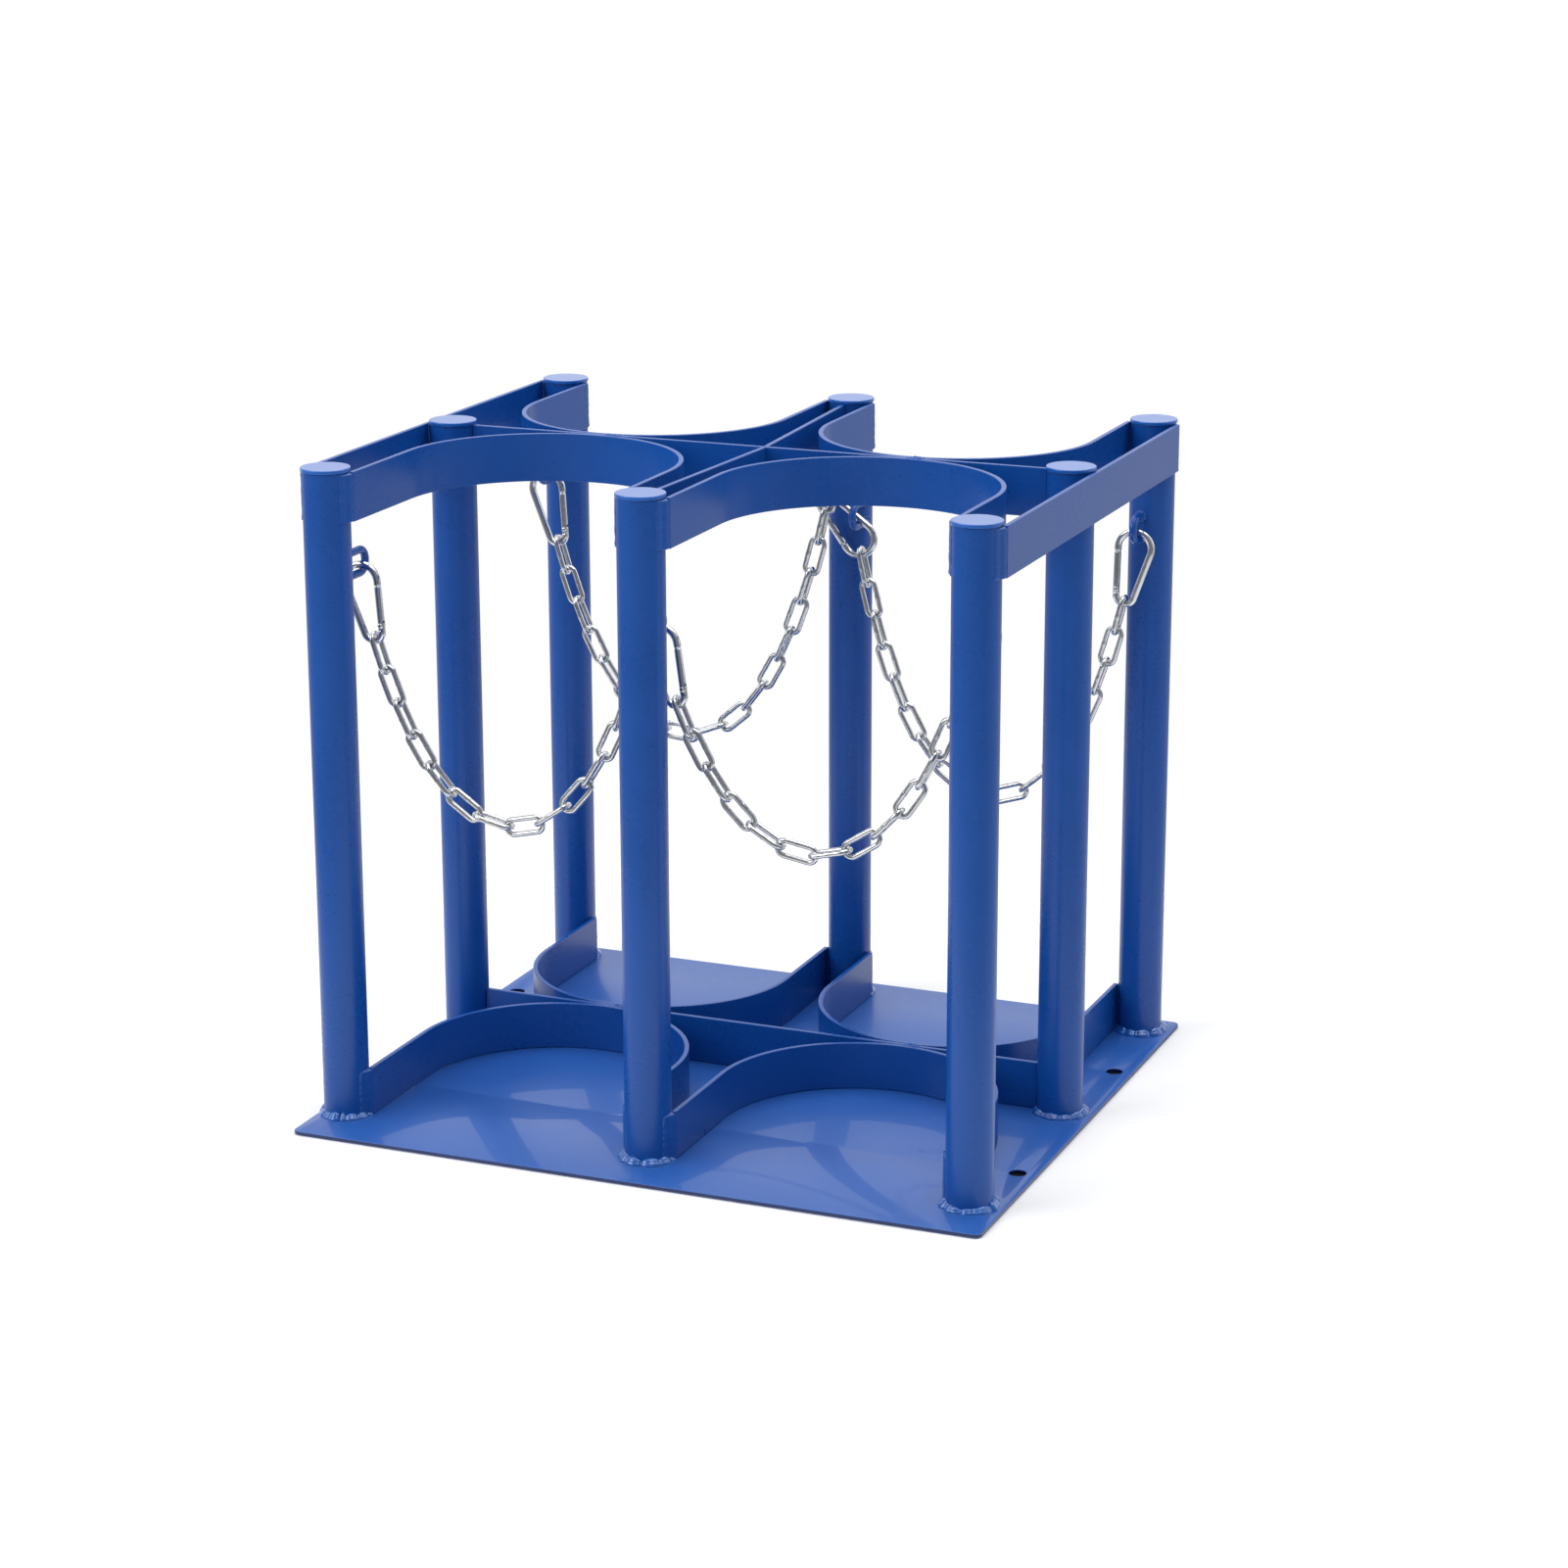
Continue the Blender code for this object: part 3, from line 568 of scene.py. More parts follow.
def show(name: str, surface: Surface, finish: Finish, body: str, *nodes: str) -> None:
    """Make a piece from a surface, dress it, and let it ride on a body in place of CAD nodes.

    Args:
        name: The piece's name.
        surface: Its surface, in place.
        finish: Its finish.
        body: The body that it moves with.
        nodes: The CAD nodes that it stands for.
    """
    shell = surface.in_bmesh()
    bmesh.ops.recalc_face_normals(shell, faces=shell.faces)
    mesh = bpy.data.meshes.new(name)
    shell.to_mesh(mesh)
    shell.free()
    mesh.shade_smooth()
    mesh.set_sharp_from_angle(angle=SMOOTH_UP_TO)
    mesh.materials.append(finish.material())
    piece = add_object(name, mesh)
    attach(piece, body)
    if nodes:
        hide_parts(*nodes)
    LOG.info("%s: %d faces, on %s", name, len(mesh.polygons), body)


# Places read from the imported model


def span(node: str) -> tuple[np.ndarray, np.ndarray]:
    """Give a CAD node's lowest and highest corners as arrays."""
    low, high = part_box(node)
    return np.array(low), np.array(high)


def centre(node: str) -> np.ndarray:
    """Give the middle of a CAD node's box."""
    low, high = span(node)
    return (low + high) / 2


def outer_y(node: str, row: str) -> float:
    """Give the depth of the side of a CAD node's box that a row of bays has outwards."""
    low, high = span(node)
    return float(low[1] if ROWS[row] > 0 else high[1])


@dataclass
class BasePlate:
    """The plate that the rack stands on, with softened edges and four anchor holes.

    The outline is a rectangle with quarter circles at its corners. Each edge, at the rim and at
    the holes, is a row of rings that step in by edge while they climb by edge.
    """

    edge: float = 0.5 * MM
    edge_rings: tuple[float, ...] = (1.0, 0.3, 0.0)
    corner_radius: float = 6 * MM
    corner_steps: int = 8
    hole_radius: float = 7 * MM
    hole_to_edge: float = 15.5 * MM
    front_hole_behind_post: float = 77 * MM
    back_hole_before_post: float = 113 * MM
    hole_steps: int = 48

    def outline(self, inset: float) -> np.ndarray:
        """Give the plate's outline.

        Args:
            inset: How far it is drawn in.

        Returns:
            Points of the plan, n by 2.
        """
        low, high = span("base_plate")
        half = (high - low)[:2] / 2 - inset
        section = rounded_section(*half, self.corner_radius - inset, self.corner_steps)
        return section + centre("base_plate")[:2]

    def holes(self) -> list[Pair]:
        """Place the anchor holes.

        Returns:
            Their centres in the plan.
        """
        low, high = span("base_plate")
        front = centre("post_front_left")[1] + self.front_hole_behind_post
        back = centre("post_back_left")[1] - self.back_hole_before_post
        columns = (low[0] + self.hole_to_edge, high[0] - self.hole_to_edge)
        return [(x, y) for x in columns for y in (front, back)]

    def build(self) -> None:
        """Build the walls of the rim and the holes, and fill the levels between them."""
        low, high = span("base_plate")
        rings = np.array(self.edge_rings) * self.edge
        insets = np.concatenate([rings, rings[::-1]])
        heights = np.concatenate([low[2] + rings[::-1], high[2] - rings])[:, None, None]
        hole = (self.hole_radius + insets[:, None, None]) * circle(self.hole_steps)
        walls = [np.stack([self.outline(inset) for inset in insets])]
        walls += [hole + middle for middle in self.holes()]
        plate = join([grid_surface(
            np.concatenate([wall, np.broadcast_to(heights, (*wall.shape[:2], 1))], axis=-1),
            closed=False, capped=False) for wall in walls])
        show("plate", plate.filled(), LIT_PLATE_PAINT, RACK_BODY, "base_plate")


@dataclass
class Post:
    """One tube with the cap on it. Both are turned profiles with softened edges.

    The cap's upper edge is twice as soft as its lower edge.
    """

    place: str
    wall: float = 2 * MM
    edge: float = 0.4 * MM
    sides: int = 96
    cap_flat_share: float = 0.4
    cap_lower_steps: int = 3
    cap_upper_steps: int = 5

    def axis(self) -> np.ndarray:
        """Give the place of the post's axis in the plan."""
        return centre(f"post_{self.place}")[:2]

    def radius(self, piece: str = "post") -> float:
        """Give the outer radius of the post, or of its cap."""
        low, high = span(f"{piece}_{self.place}")
        return float(high[0] - low[0]) / 2

    def build(self) -> None:
        """Build the tube and its cap."""
        place = Matrix.Translation((*self.axis(), 0))
        low, high = span(f"post_{self.place}")
        section = rounded_section(self.wall / 2, (high - low)[2] / 2, self.edge)
        section += [self.radius() - self.wall / 2, (low + high)[2] / 2]
        show(f"tube_{self.place}", turned(section, self.sides, closed=True).placed(place), PAINT,
             RACK_BODY, f"post_{self.place}")
        low, high = span(f"cap_{self.place}")
        edge, radius = self.edge, self.radius("cap")
        profile = np.concatenate([
            [(self.cap_flat_share * radius, low[2]), (radius - 2 * edge, low[2])],
            arc_points((radius - edge, low[2] + edge), edge, -90, 0, self.cap_lower_steps),
            arc_points((radius - 2 * edge, high[2] - 2 * edge), 2 * edge, 0, 90,
                       self.cap_upper_steps),
            [(radius - 3 * edge, high[2]), (self.cap_flat_share * radius, high[2])]])
        show(f"lid_{self.place}", turned(profile, self.sides, closed=False).placed(place),
             LIT_CAP_PAINT, RACK_BODY, f"cap_{self.place}")


@dataclass
class Bar:
    """A straight flat bar on edge.

    Its section is carried along its plan, which is its middle line seen from above. The section's
    width runs square to that line and its height runs up. Near each end the section shrinks by
    the corner's radius while the line goes on by as much, and end_hold times that radius from
    the end it has a ring of its full size.
    """

    name: str
    node: str
    corner: float = 0.6 * MM
    end_hold: float = 1.5
    end_steps: int = 3
    steps: int = 8

    def ends(self) -> np.ndarray:
        """Place the middle line along the longer side of the bar's box.

        Returns:
            Its two ends, 2 by 2.
        """
        low, high = span(self.node)
        along = 0 if high[0] - low[0] > high[1] - low[1] else 1
        ends = np.tile(centre(self.node)[:2], (2, 1))
        ends[:, along] = low[along], high[along]
        return ends

    def plan(self) -> np.ndarray:
        """Give points of the middle line."""
        return np.linspace(*self.ends(), self.steps + 1)

    def build(self) -> None:
        """Build the bar."""
        plan, corner = self.plan(), self.corner
        low, high = [float(end[2]) for end in span(self.node)]
        first, last = unit(plan[1] - plan[0]), unit(plan[-1] - plan[-2])
        turn = np.linspace(0, np.pi / 2, self.end_steps + 1)
        passed, shrink = corner * (1 - np.sin(turn))[:, None], corner * (1 - np.cos(turn))
        hold = self.end_hold * corner
        line = np.concatenate([plan[0] + passed[::-1] * first, [plan[0] + hold * first],
                               plan[1:-1], [plan[-1] - hold * last], plan[-1] - passed * last])
        inset = np.concatenate([shrink[::-1], np.zeros(len(plan)), shrink])[:, None]
        along = unit(np.gradient(line, axis=0))
        half = np.array([BAR_THICKNESS, high - low]) / 2
        section = rounded_section(*half, corner) * ((half - inset) / half)[:, None, :]
        wide, tall = section[..., :1], section[..., 1:] + (low + high) / 2
        square = np.stack([-along[:, 1], along[:, 0]], axis=1)[:, None, :]
        points = np.concatenate([line[:, None, :] + wide * square, tall], axis=-1)
        show(self.name, grid_surface(points, closed=False), PAINT, RACK_BODY, self.node)


@dataclass
class SpineHalf(Bar):
    """One half of the upper bar from front to back, set askew where it meets the crossing."""

    row: str = "front"

    def ends(self) -> np.ndarray:
        """Place the middle line from the middle post to the crossing, which lies to the right.

        Returns:
            Its two ends, 2 by 2.
        """
        low, high = span(self.node)
        near, far = low[0] + BAR_THICKNESS / 2, high[0] - BAR_THICKNESS / 2
        return np.array([[near, low[1]], [far, high[1]]] if self.row == "front" else
                        [[far, low[1]], [near, high[1]]])


@dataclass
class Saddle(Bar):
    """A flat bar bent round the back of a bay: half a circle with a straight arm at each end."""

    row: str = "front"
    bend_steps: int = 72
    arm_steps: int = 6

    def plan(self) -> np.ndarray:
        """Draw the middle line: the right arm, the bend and the left arm.

        Returns:
            Points of it, n by 2.
        """
        low, high = span(self.node)
        way = ROWS[self.row]
        radius = (high[0] - low[0] - BAR_THICKNESS) / 2
        middle_x = centre(self.node)[0]
        end_y = outer_y(self.node, self.row)
        middle_y = end_y + way * (high[1] - low[1] - BAR_THICKNESS / 2 - radius)
        bend = arc_points((middle_x, middle_y), radius, 0, 180 * way, self.bend_steps)
        right, left = (middle_x + radius, end_y), (middle_x - radius, end_y)
        return np.concatenate([np.linspace(right, bend[0], self.arm_steps + 1)[:-1], bend,
                               np.linspace(bend[-1], left, self.arm_steps + 1)[1:]])


@dataclass
class Fillet:
    """A lumpy weld laid in the corner between two surfaces.

    Its section runs from one surface to the other at a distance from the corner. The distance is
    the size, times one less a little at the middle of the section, times one plus the lumps. The
    lumps are rounded humps one after another along the corner, each with a length and a height of
    its own from a seeded generator, on slow sines of seeded phase. With a droop the first few
    millimetres are thicker by that share, and the weld eases to nothing over the share ease of
    its size at either end. The humps' lengths and heights are drawn from hump_lengths and
    hump_heights, and the lengths are then scaled to fill the corner.
    """

    size: float = 3.5 * MM
    lump: float = 5 * MM
    lump_height: float = 0.22
    unevenness: float = 0.10
    bulge: float = 0.06
    droop: float = 0.0
    droop_reach: float = 0.8
    ease: float = 0.6
    end_share: float = 0.03
    hollow: float = 0.18
    hollow_power: float = 1.5
    hump_lengths: Pair = (0.55, 1.45)
    hump_heights: Pair = (0.35, 1.0)
    hump_gain: float = 1.6
    least_humps: int = 3
    slow_waves: int = 4
    section_steps: int = 9
    ring_steps: int = 220
    least_rings: int = 8
    upright_step: float = 0.35 * MM
    bury: float = 0.7 * MM
    seed: int = 0

    def sizes(self, passed: np.ndarray, length: float) -> np.ndarray:
        """Give the weld's size along the corner.

        Args:
            passed: Distance along the corner of each station.
            length: The corner's whole length.

        Returns:
            The size at each station.
        """
        chance = np.random.default_rng(self.seed)
        count = max(self.least_humps, round(length / self.lump))
        widths = chance.uniform(*self.hump_lengths, count)
        ends = np.concatenate([[0.0], np.cumsum(widths)]) / widths.sum() * length
        heights = self.hump_gain * chance.uniform(*self.hump_heights, count)
        index = np.clip(np.searchsorted(ends, passed, side="right") - 1, 0, count - 1)
        share = (passed - ends[index]) / (ends[index + 1] - ends[index])
        humps = heights[index] * np.sqrt(np.clip(4 * share * (1 - share), 0, 1))
        phases = chance.uniform(0, 2 * np.pi, self.slow_waves)
        lap = 2 * np.pi * passed / length
        slow = sum(np.sin(k * lap + phase) / k for k, phase in enumerate(phases, 1))
        thicker = self.droop * np.exp(-(passed / (self.droop_reach * self.size)) ** 2)
        return self.size * (1 + self.lump_height * (humps - 1) + self.unevenness * slow + thicker)

    def along(self, corner: np.ndarray, first: np.ndarray, second: np.ndarray,
              closed: bool = False) -> Surface:
        """Lay the weld along a corner.

        Args:
            corner: Points of the corner, n by 3, evenly spaced.
            first: Vectors along one surface, away from the corner, one or n by 3. Their length
                is how far the weld reaches on it as a share of its size.
            second: The same along the other surface.
            closed: Whether the corner is a loop.

        Returns:
            The weld's surface.
        """
        first, second = [np.broadcast_to(way, corner.shape)[:, None, :] for way in (first, second)]
        corner = corner[:, None, :]
        steps = np.linalg.norm(np.diff(corner[:, 0], axis=0), axis=1)
        passed = np.concatenate([[0.0], np.cumsum(steps)])
        size = self.sizes(passed, passed[-1] + (steps[-1] if closed else 0.0))
        if not closed:
            near_end = np.minimum(passed, passed[-1] - passed) / (self.ease * self.size)
            near_end = np.clip(near_end, self.end_share, 1)
            size = size * np.sqrt(near_end * (2 - near_end))
        turn = np.linspace(0, np.pi / 2, self.section_steps)
        arch = 1 - np.abs(np.cos(2 * turn)) ** self.hollow_power
        hollow = (self.hollow - self.bulge) * arch
        reach = (size[:, None] * (1 - hollow))[..., None]
        surface = (corner + reach * np.cos(turn)[:, None] * first
                   + reach * np.sin(turn)[:, None] * second)
        inside = corner - self.bury * (first + second)
        foot, head = surface[:, :1] - self.bury * second, surface[:, -1:] - self.bury * first
        return grid_surface(np.concatenate([inside, foot, surface, head], axis=1), closed)

    def ring(self, middle: np.ndarray, radius: float, height: float) -> Surface:
        """Lay the weld in the corner between a level plate and an upright round tube.

        Args:
            middle: The tube's axis in the plan.
            radius: Its radius.
            height: The plate's height.

        Returns:
            The weld's surface.
        """
        out = np.pad(circle(self.ring_steps, self.seed), ((0, 0), (0, 1)))
        return self.along(np.array([*middle, height]) + radius * out, out, UP, closed=True)

    def upright(self, foot: np.ndarray, top: float, first: np.ndarray,
                second: np.ndarray) -> Surface:
        """Lay the weld in an upright corner.

        Args:
            foot: The corner's lowest point.
            top: Height of its upper end.
            first: Vector along one surface.
            second: Vector along the other.

        Returns:
            The weld's surface.
        """
        count = max(self.least_rings, int((top - foot[2]) / self.upright_step))
        return self.along(np.linspace(foot, (*foot[:2], top), count), first, second)

    def bead(self, middle: np.ndarray, length: float, steps: int = 40, sides: int = 12,
             tip: float = 0.02) -> Surface:
        """Lay the weld as a short bead on a level seam along X.

        Its radius is the weld's size times the square root of one less the cube of the share of
        the way from the middle to an end.

        Args:
            middle: The bead's middle.
            length: Its length.
            steps: Steps along it.
            sides: Points round it.
            tip: The least that goes under that square root.

        Returns:
            The bead's surface.
        """
        share = np.linspace(0, 1, steps + 1)
        path = np.stack([(share - 0.5) * length, np.zeros(steps + 1)], axis=1)
        dome = np.sqrt(np.clip(1 - np.abs(2 * share - 1) ** 3, tip, 1))
        radii = self.sizes(share * length, length) * dome
        return swept_wire(path, radii, sides).placed(Matrix.Translation(middle))


@dataclass
class FrameWelds:
    """The welds round the posts' feet and along the joints of the flat bars."""

    foot_size: float = 4.8 * MM
    foot_passes: tuple[Pair, ...] = ((1.0, 11 * MM), (0.90, 8 * MM))
    plate_rim: float = 0.3 * MM
    notch_size: float = 4 * MM
    notch_bulge: float = -0.06
    end_gap: float = 0.5 * MM
    rail_size: float = 2.6 * MM
    rail_weld_from_axis: float = 5.5 * MM
    crossing_size: float = 2.6 * MM
    crossing_weld_from_middle: float = 15 * MM
    seam_size: float = 1.5 * MM
    seam_lump: float = 3 * MM
    seam_length: float = 17 * MM
    seam_drop: float = 0.5 * MM
    seam_offsets: Pair = (12 * MM, 6 * MM)

    def build_feet(self, places: list[str]) -> None:
        """Lay a ring of weld round each post's foot: two lumpy passes, kept on the plate."""
        low, high = span("base_plate")
        for index, place in enumerate(places):
            post = Post(place)
            ring = join([Fillet(self.foot_size * share, lump, lump_height=0.5, unevenness=0.16,
                                bulge=0.02, seed=2 * index + layer).ring(
                                    post.axis(), post.radius(), float(high[2]))
                         for layer, (share, lump) in enumerate(self.foot_passes)])
            ring.points[:, :2] = np.clip(ring.points[:, :2], low[:2] + self.plate_rim,
                                         high[:2] - self.plate_rim)
            show(f"foot_weld_{place}", ring, HIGHLIT_FOOT_WELD_PAINT, RACK_BODY)

    def beside_post(self, place: str, side: int, node: str, row: str, seed: int) -> Surface:
        """Fill the notch between a bar's end face and the round side of a post.

        The weld runs from the outer edge of the end face to the point where a plane through that
        edge touches the tube. With r the tube's radius, d the edge's distance from its axis and a
        the edge's angle, that point lies at the angle a + acos(r / d). It is cut flush with the
        bar's outer face.

        Args:
            place: The post's place.
            side: Which side of the post the bar lies on, -1 or 1.
            node: The bar's CAD node.
            row: The row of bays that the bar's end looks out of.
            seed: Seed of the weld's lumps.

        Returns:
            The weld's surface.
        """
        axis, radius = Post(place).axis(), Post(place).radius()
        toward, end_y = -ROWS[row], outer_y(node, row)
        bottom, top = [corner[2] - self.end_gap for corner in span(node)]
        ahead, outer = (end_y - axis[1]) * toward, radius + BAR_THICKNESS
        angle = math.atan2(ahead, outer) + math.acos(radius / math.hypot(outer, ahead))
        inner = math.sqrt(radius ** 2 - ahead ** 2)
        along_end = side * (outer - inner) / self.notch_size * ACROSS
        along_post = np.array([side * (radius * math.cos(angle) - inner),
                               toward * (radius * math.sin(angle) - ahead), 0.0]) / self.notch_size
        weld = Fillet(self.notch_size, lump=8 * MM, lump_height=0.05, unevenness=0.02,
                      bulge=self.notch_bulge, droop=0.16, ease=0.5, seed=seed)
        surface = weld.upright(np.array([axis[0] + side * inner, end_y, bottom]), top, along_end,
                               along_post)
        sideways = np.clip((surface.points[:, 0] - axis[0]) * side, 0, outer)
        surface.points[:, 0] = axis[0] + sideways * side
        return surface

    def build_arm_joints(self) -> None:
        """Fill the notch where each saddle arm ends beside its post."""
        for level in LEVELS:
            for row in ROWS:
                for column, posts in (("left", ("left", "middle")), ("right", ("middle", "right"))):
                    node = f"{level}_saddle_{row}_{column}"
                    welds = [self.beside_post(f"{row}_{post}", 1 - 2 * seed, node, row, seed)
                             for seed, post in enumerate(posts)]
                    show(f"arm_weld_{level}_{row}_{column}", join(welds), WELD_PAINT, RACK_BODY)

    def build_rail_joints(self) -> None:
        """Weld the rails to the posts: at the rails' ends, and inside where they pass a post."""
        for column, side in COLUMNS.items():
            node = f"top_side_rail_{column}"
            low, high = span(node)
            welds = [self.beside_post(f"{row}_{column}", side, node, row, seed)
                     for row, seed in (("front", 5), ("back", 4))]
            for row, ways in (("front", (1,)), ("middle", (-1, 1)), ("back", (-1,))):
                for way in ways:
                    y = Post(f"{row}_{column}").axis()[1] + way * self.rail_weld_from_axis
                    foot = np.array([high[0] if side < 0 else low[0], y, low[2] + self.end_gap])
                    weld = Fillet(self.rail_size, lump_height=0.15, seed=way + 4)
                    welds.append(weld.upright(foot, high[2] - self.end_gap, way * DEPTH,
                                              -side * ACROSS))
            show(f"rail_weld_{column}", join(welds), WELD_PAINT, RACK_BODY)

    def build_crossings(self) -> None:
        """Weld the saddles to the cross bars: upright in the notches, and along the seam above."""
        for level in LEVELS:
            bar = f"{level}_cross_bar"
            low, high = span(bar)
            welds: list[Surface] = []
            for row, way in ROWS.items():
                for column, offset in zip(COLUMNS, self.seam_offsets):
                    middle = np.array([centre(f"{level}_saddle_{row}_{column}")[0],
                                       outer_y(bar, row), low[2] + self.end_gap])
                    for side in (-1, 1):
                        weld = Fillet(self.crossing_size, lump_height=0.2, seed=side + 5)
                        foot = middle + side * self.crossing_weld_from_middle * ACROSS
                        welds.append(weld.upright(foot, high[2] - self.end_gap, side * ACROSS,
                                                  -way * DEPTH))
                    seam = np.array([middle[0] + offset, middle[1], high[2] - self.seam_drop])
                    weld = Fillet(self.seam_size, self.seam_lump, lump_height=0.3,
                                  seed=len(welds))
                    welds.append(weld.bead(seam, self.seam_length))
            show(f"crossing_weld_{level}", join(welds), WELD_PAINT, RACK_BODY)


@dataclass
class Rack:
    """The welded rack: plate, posts, upper and lower frames."""

    def places(self) -> list[str]:
        """Give the names of the eight posts' places."""
        return [f"{row}_{column}" for row in ("front", "middle", "back")
                for column in ("left", "middle", "right") if (row, column) != ("middle", "middle")]

    def build(self) -> None:
        """Build every fixed piece."""
        BasePlate().build()
        for place in self.places():
            Post(place).build()
        for column in COLUMNS:
            Bar(f"rail_{column}", f"top_side_rail_{column}").build()
        for level in LEVELS:
            Bar(f"crossing_bar_{level}", f"{level}_cross_bar").build()
            for row in ROWS:
                for column in COLUMNS:
                    Saddle(f"saddle_bar_{level}_{row}_{column}",
                           f"{level}_saddle_{row}_{column}", row=row).build()
        for row in ROWS:
            SpineHalf(f"spine_half_{row}", f"top_spine_{row}", row=row).build()
        welds = FrameWelds()
        welds.build_feet(self.places())
        welds.build_arm_joints()
        welds.build_rail_joints()
        welds.build_crossings()


@dataclass
class Link:
    """A chain link: round wire bent to an oval and butt-welded on one side.

    The path is two half circles joined by straights, and the wire swells over the weld.
    """

    wire: float = 4.5 * MM
    inner_length: float = 28.6 * MM
    inner_width: float = 8 * MM
    weld_swell: float = 0.10
    weld_length: float = 1.6 * MM
    sides: int = 12
    bend_steps: int = 14
    side_steps: int = 14

    def bend_radius(self) -> float:
        """Give the radius of the wire's middle line in the bends."""
        return (self.inner_width + self.wire) / 2

    def tip_to_tip(self) -> float:
        """Give the length between the outermost points of the wire's middle line."""
        return self.inner_length + self.wire

    def straight(self) -> float:
        """Give the length of the straight sides."""
        return self.tip_to_tip() - 2 * self.bend_radius()

    def surface(self) -> Surface:
        """Build one link.

        Returns:
            Its surface, lying along X in the plane of X and Z.
        """
        half, radius = self.straight() / 2, self.bend_radius()
        upper = np.linspace((half, radius), (-half, radius), self.side_steps + 1)[1:-1]
        path = np.concatenate([arc_points((half, 0), radius, -90, 90, self.bend_steps), upper,
                               arc_points((-half, 0), radius, 90, 270, self.bend_steps), -upper])
        swell = self.weld_swell * np.exp(-(path[:, 0] / self.weld_length) ** 2)
        swell *= np.isclose(path[:, 1], radius)
        return swept_wire(path, self.wire / 2 * (1 + swell), self.sides, closed=True)


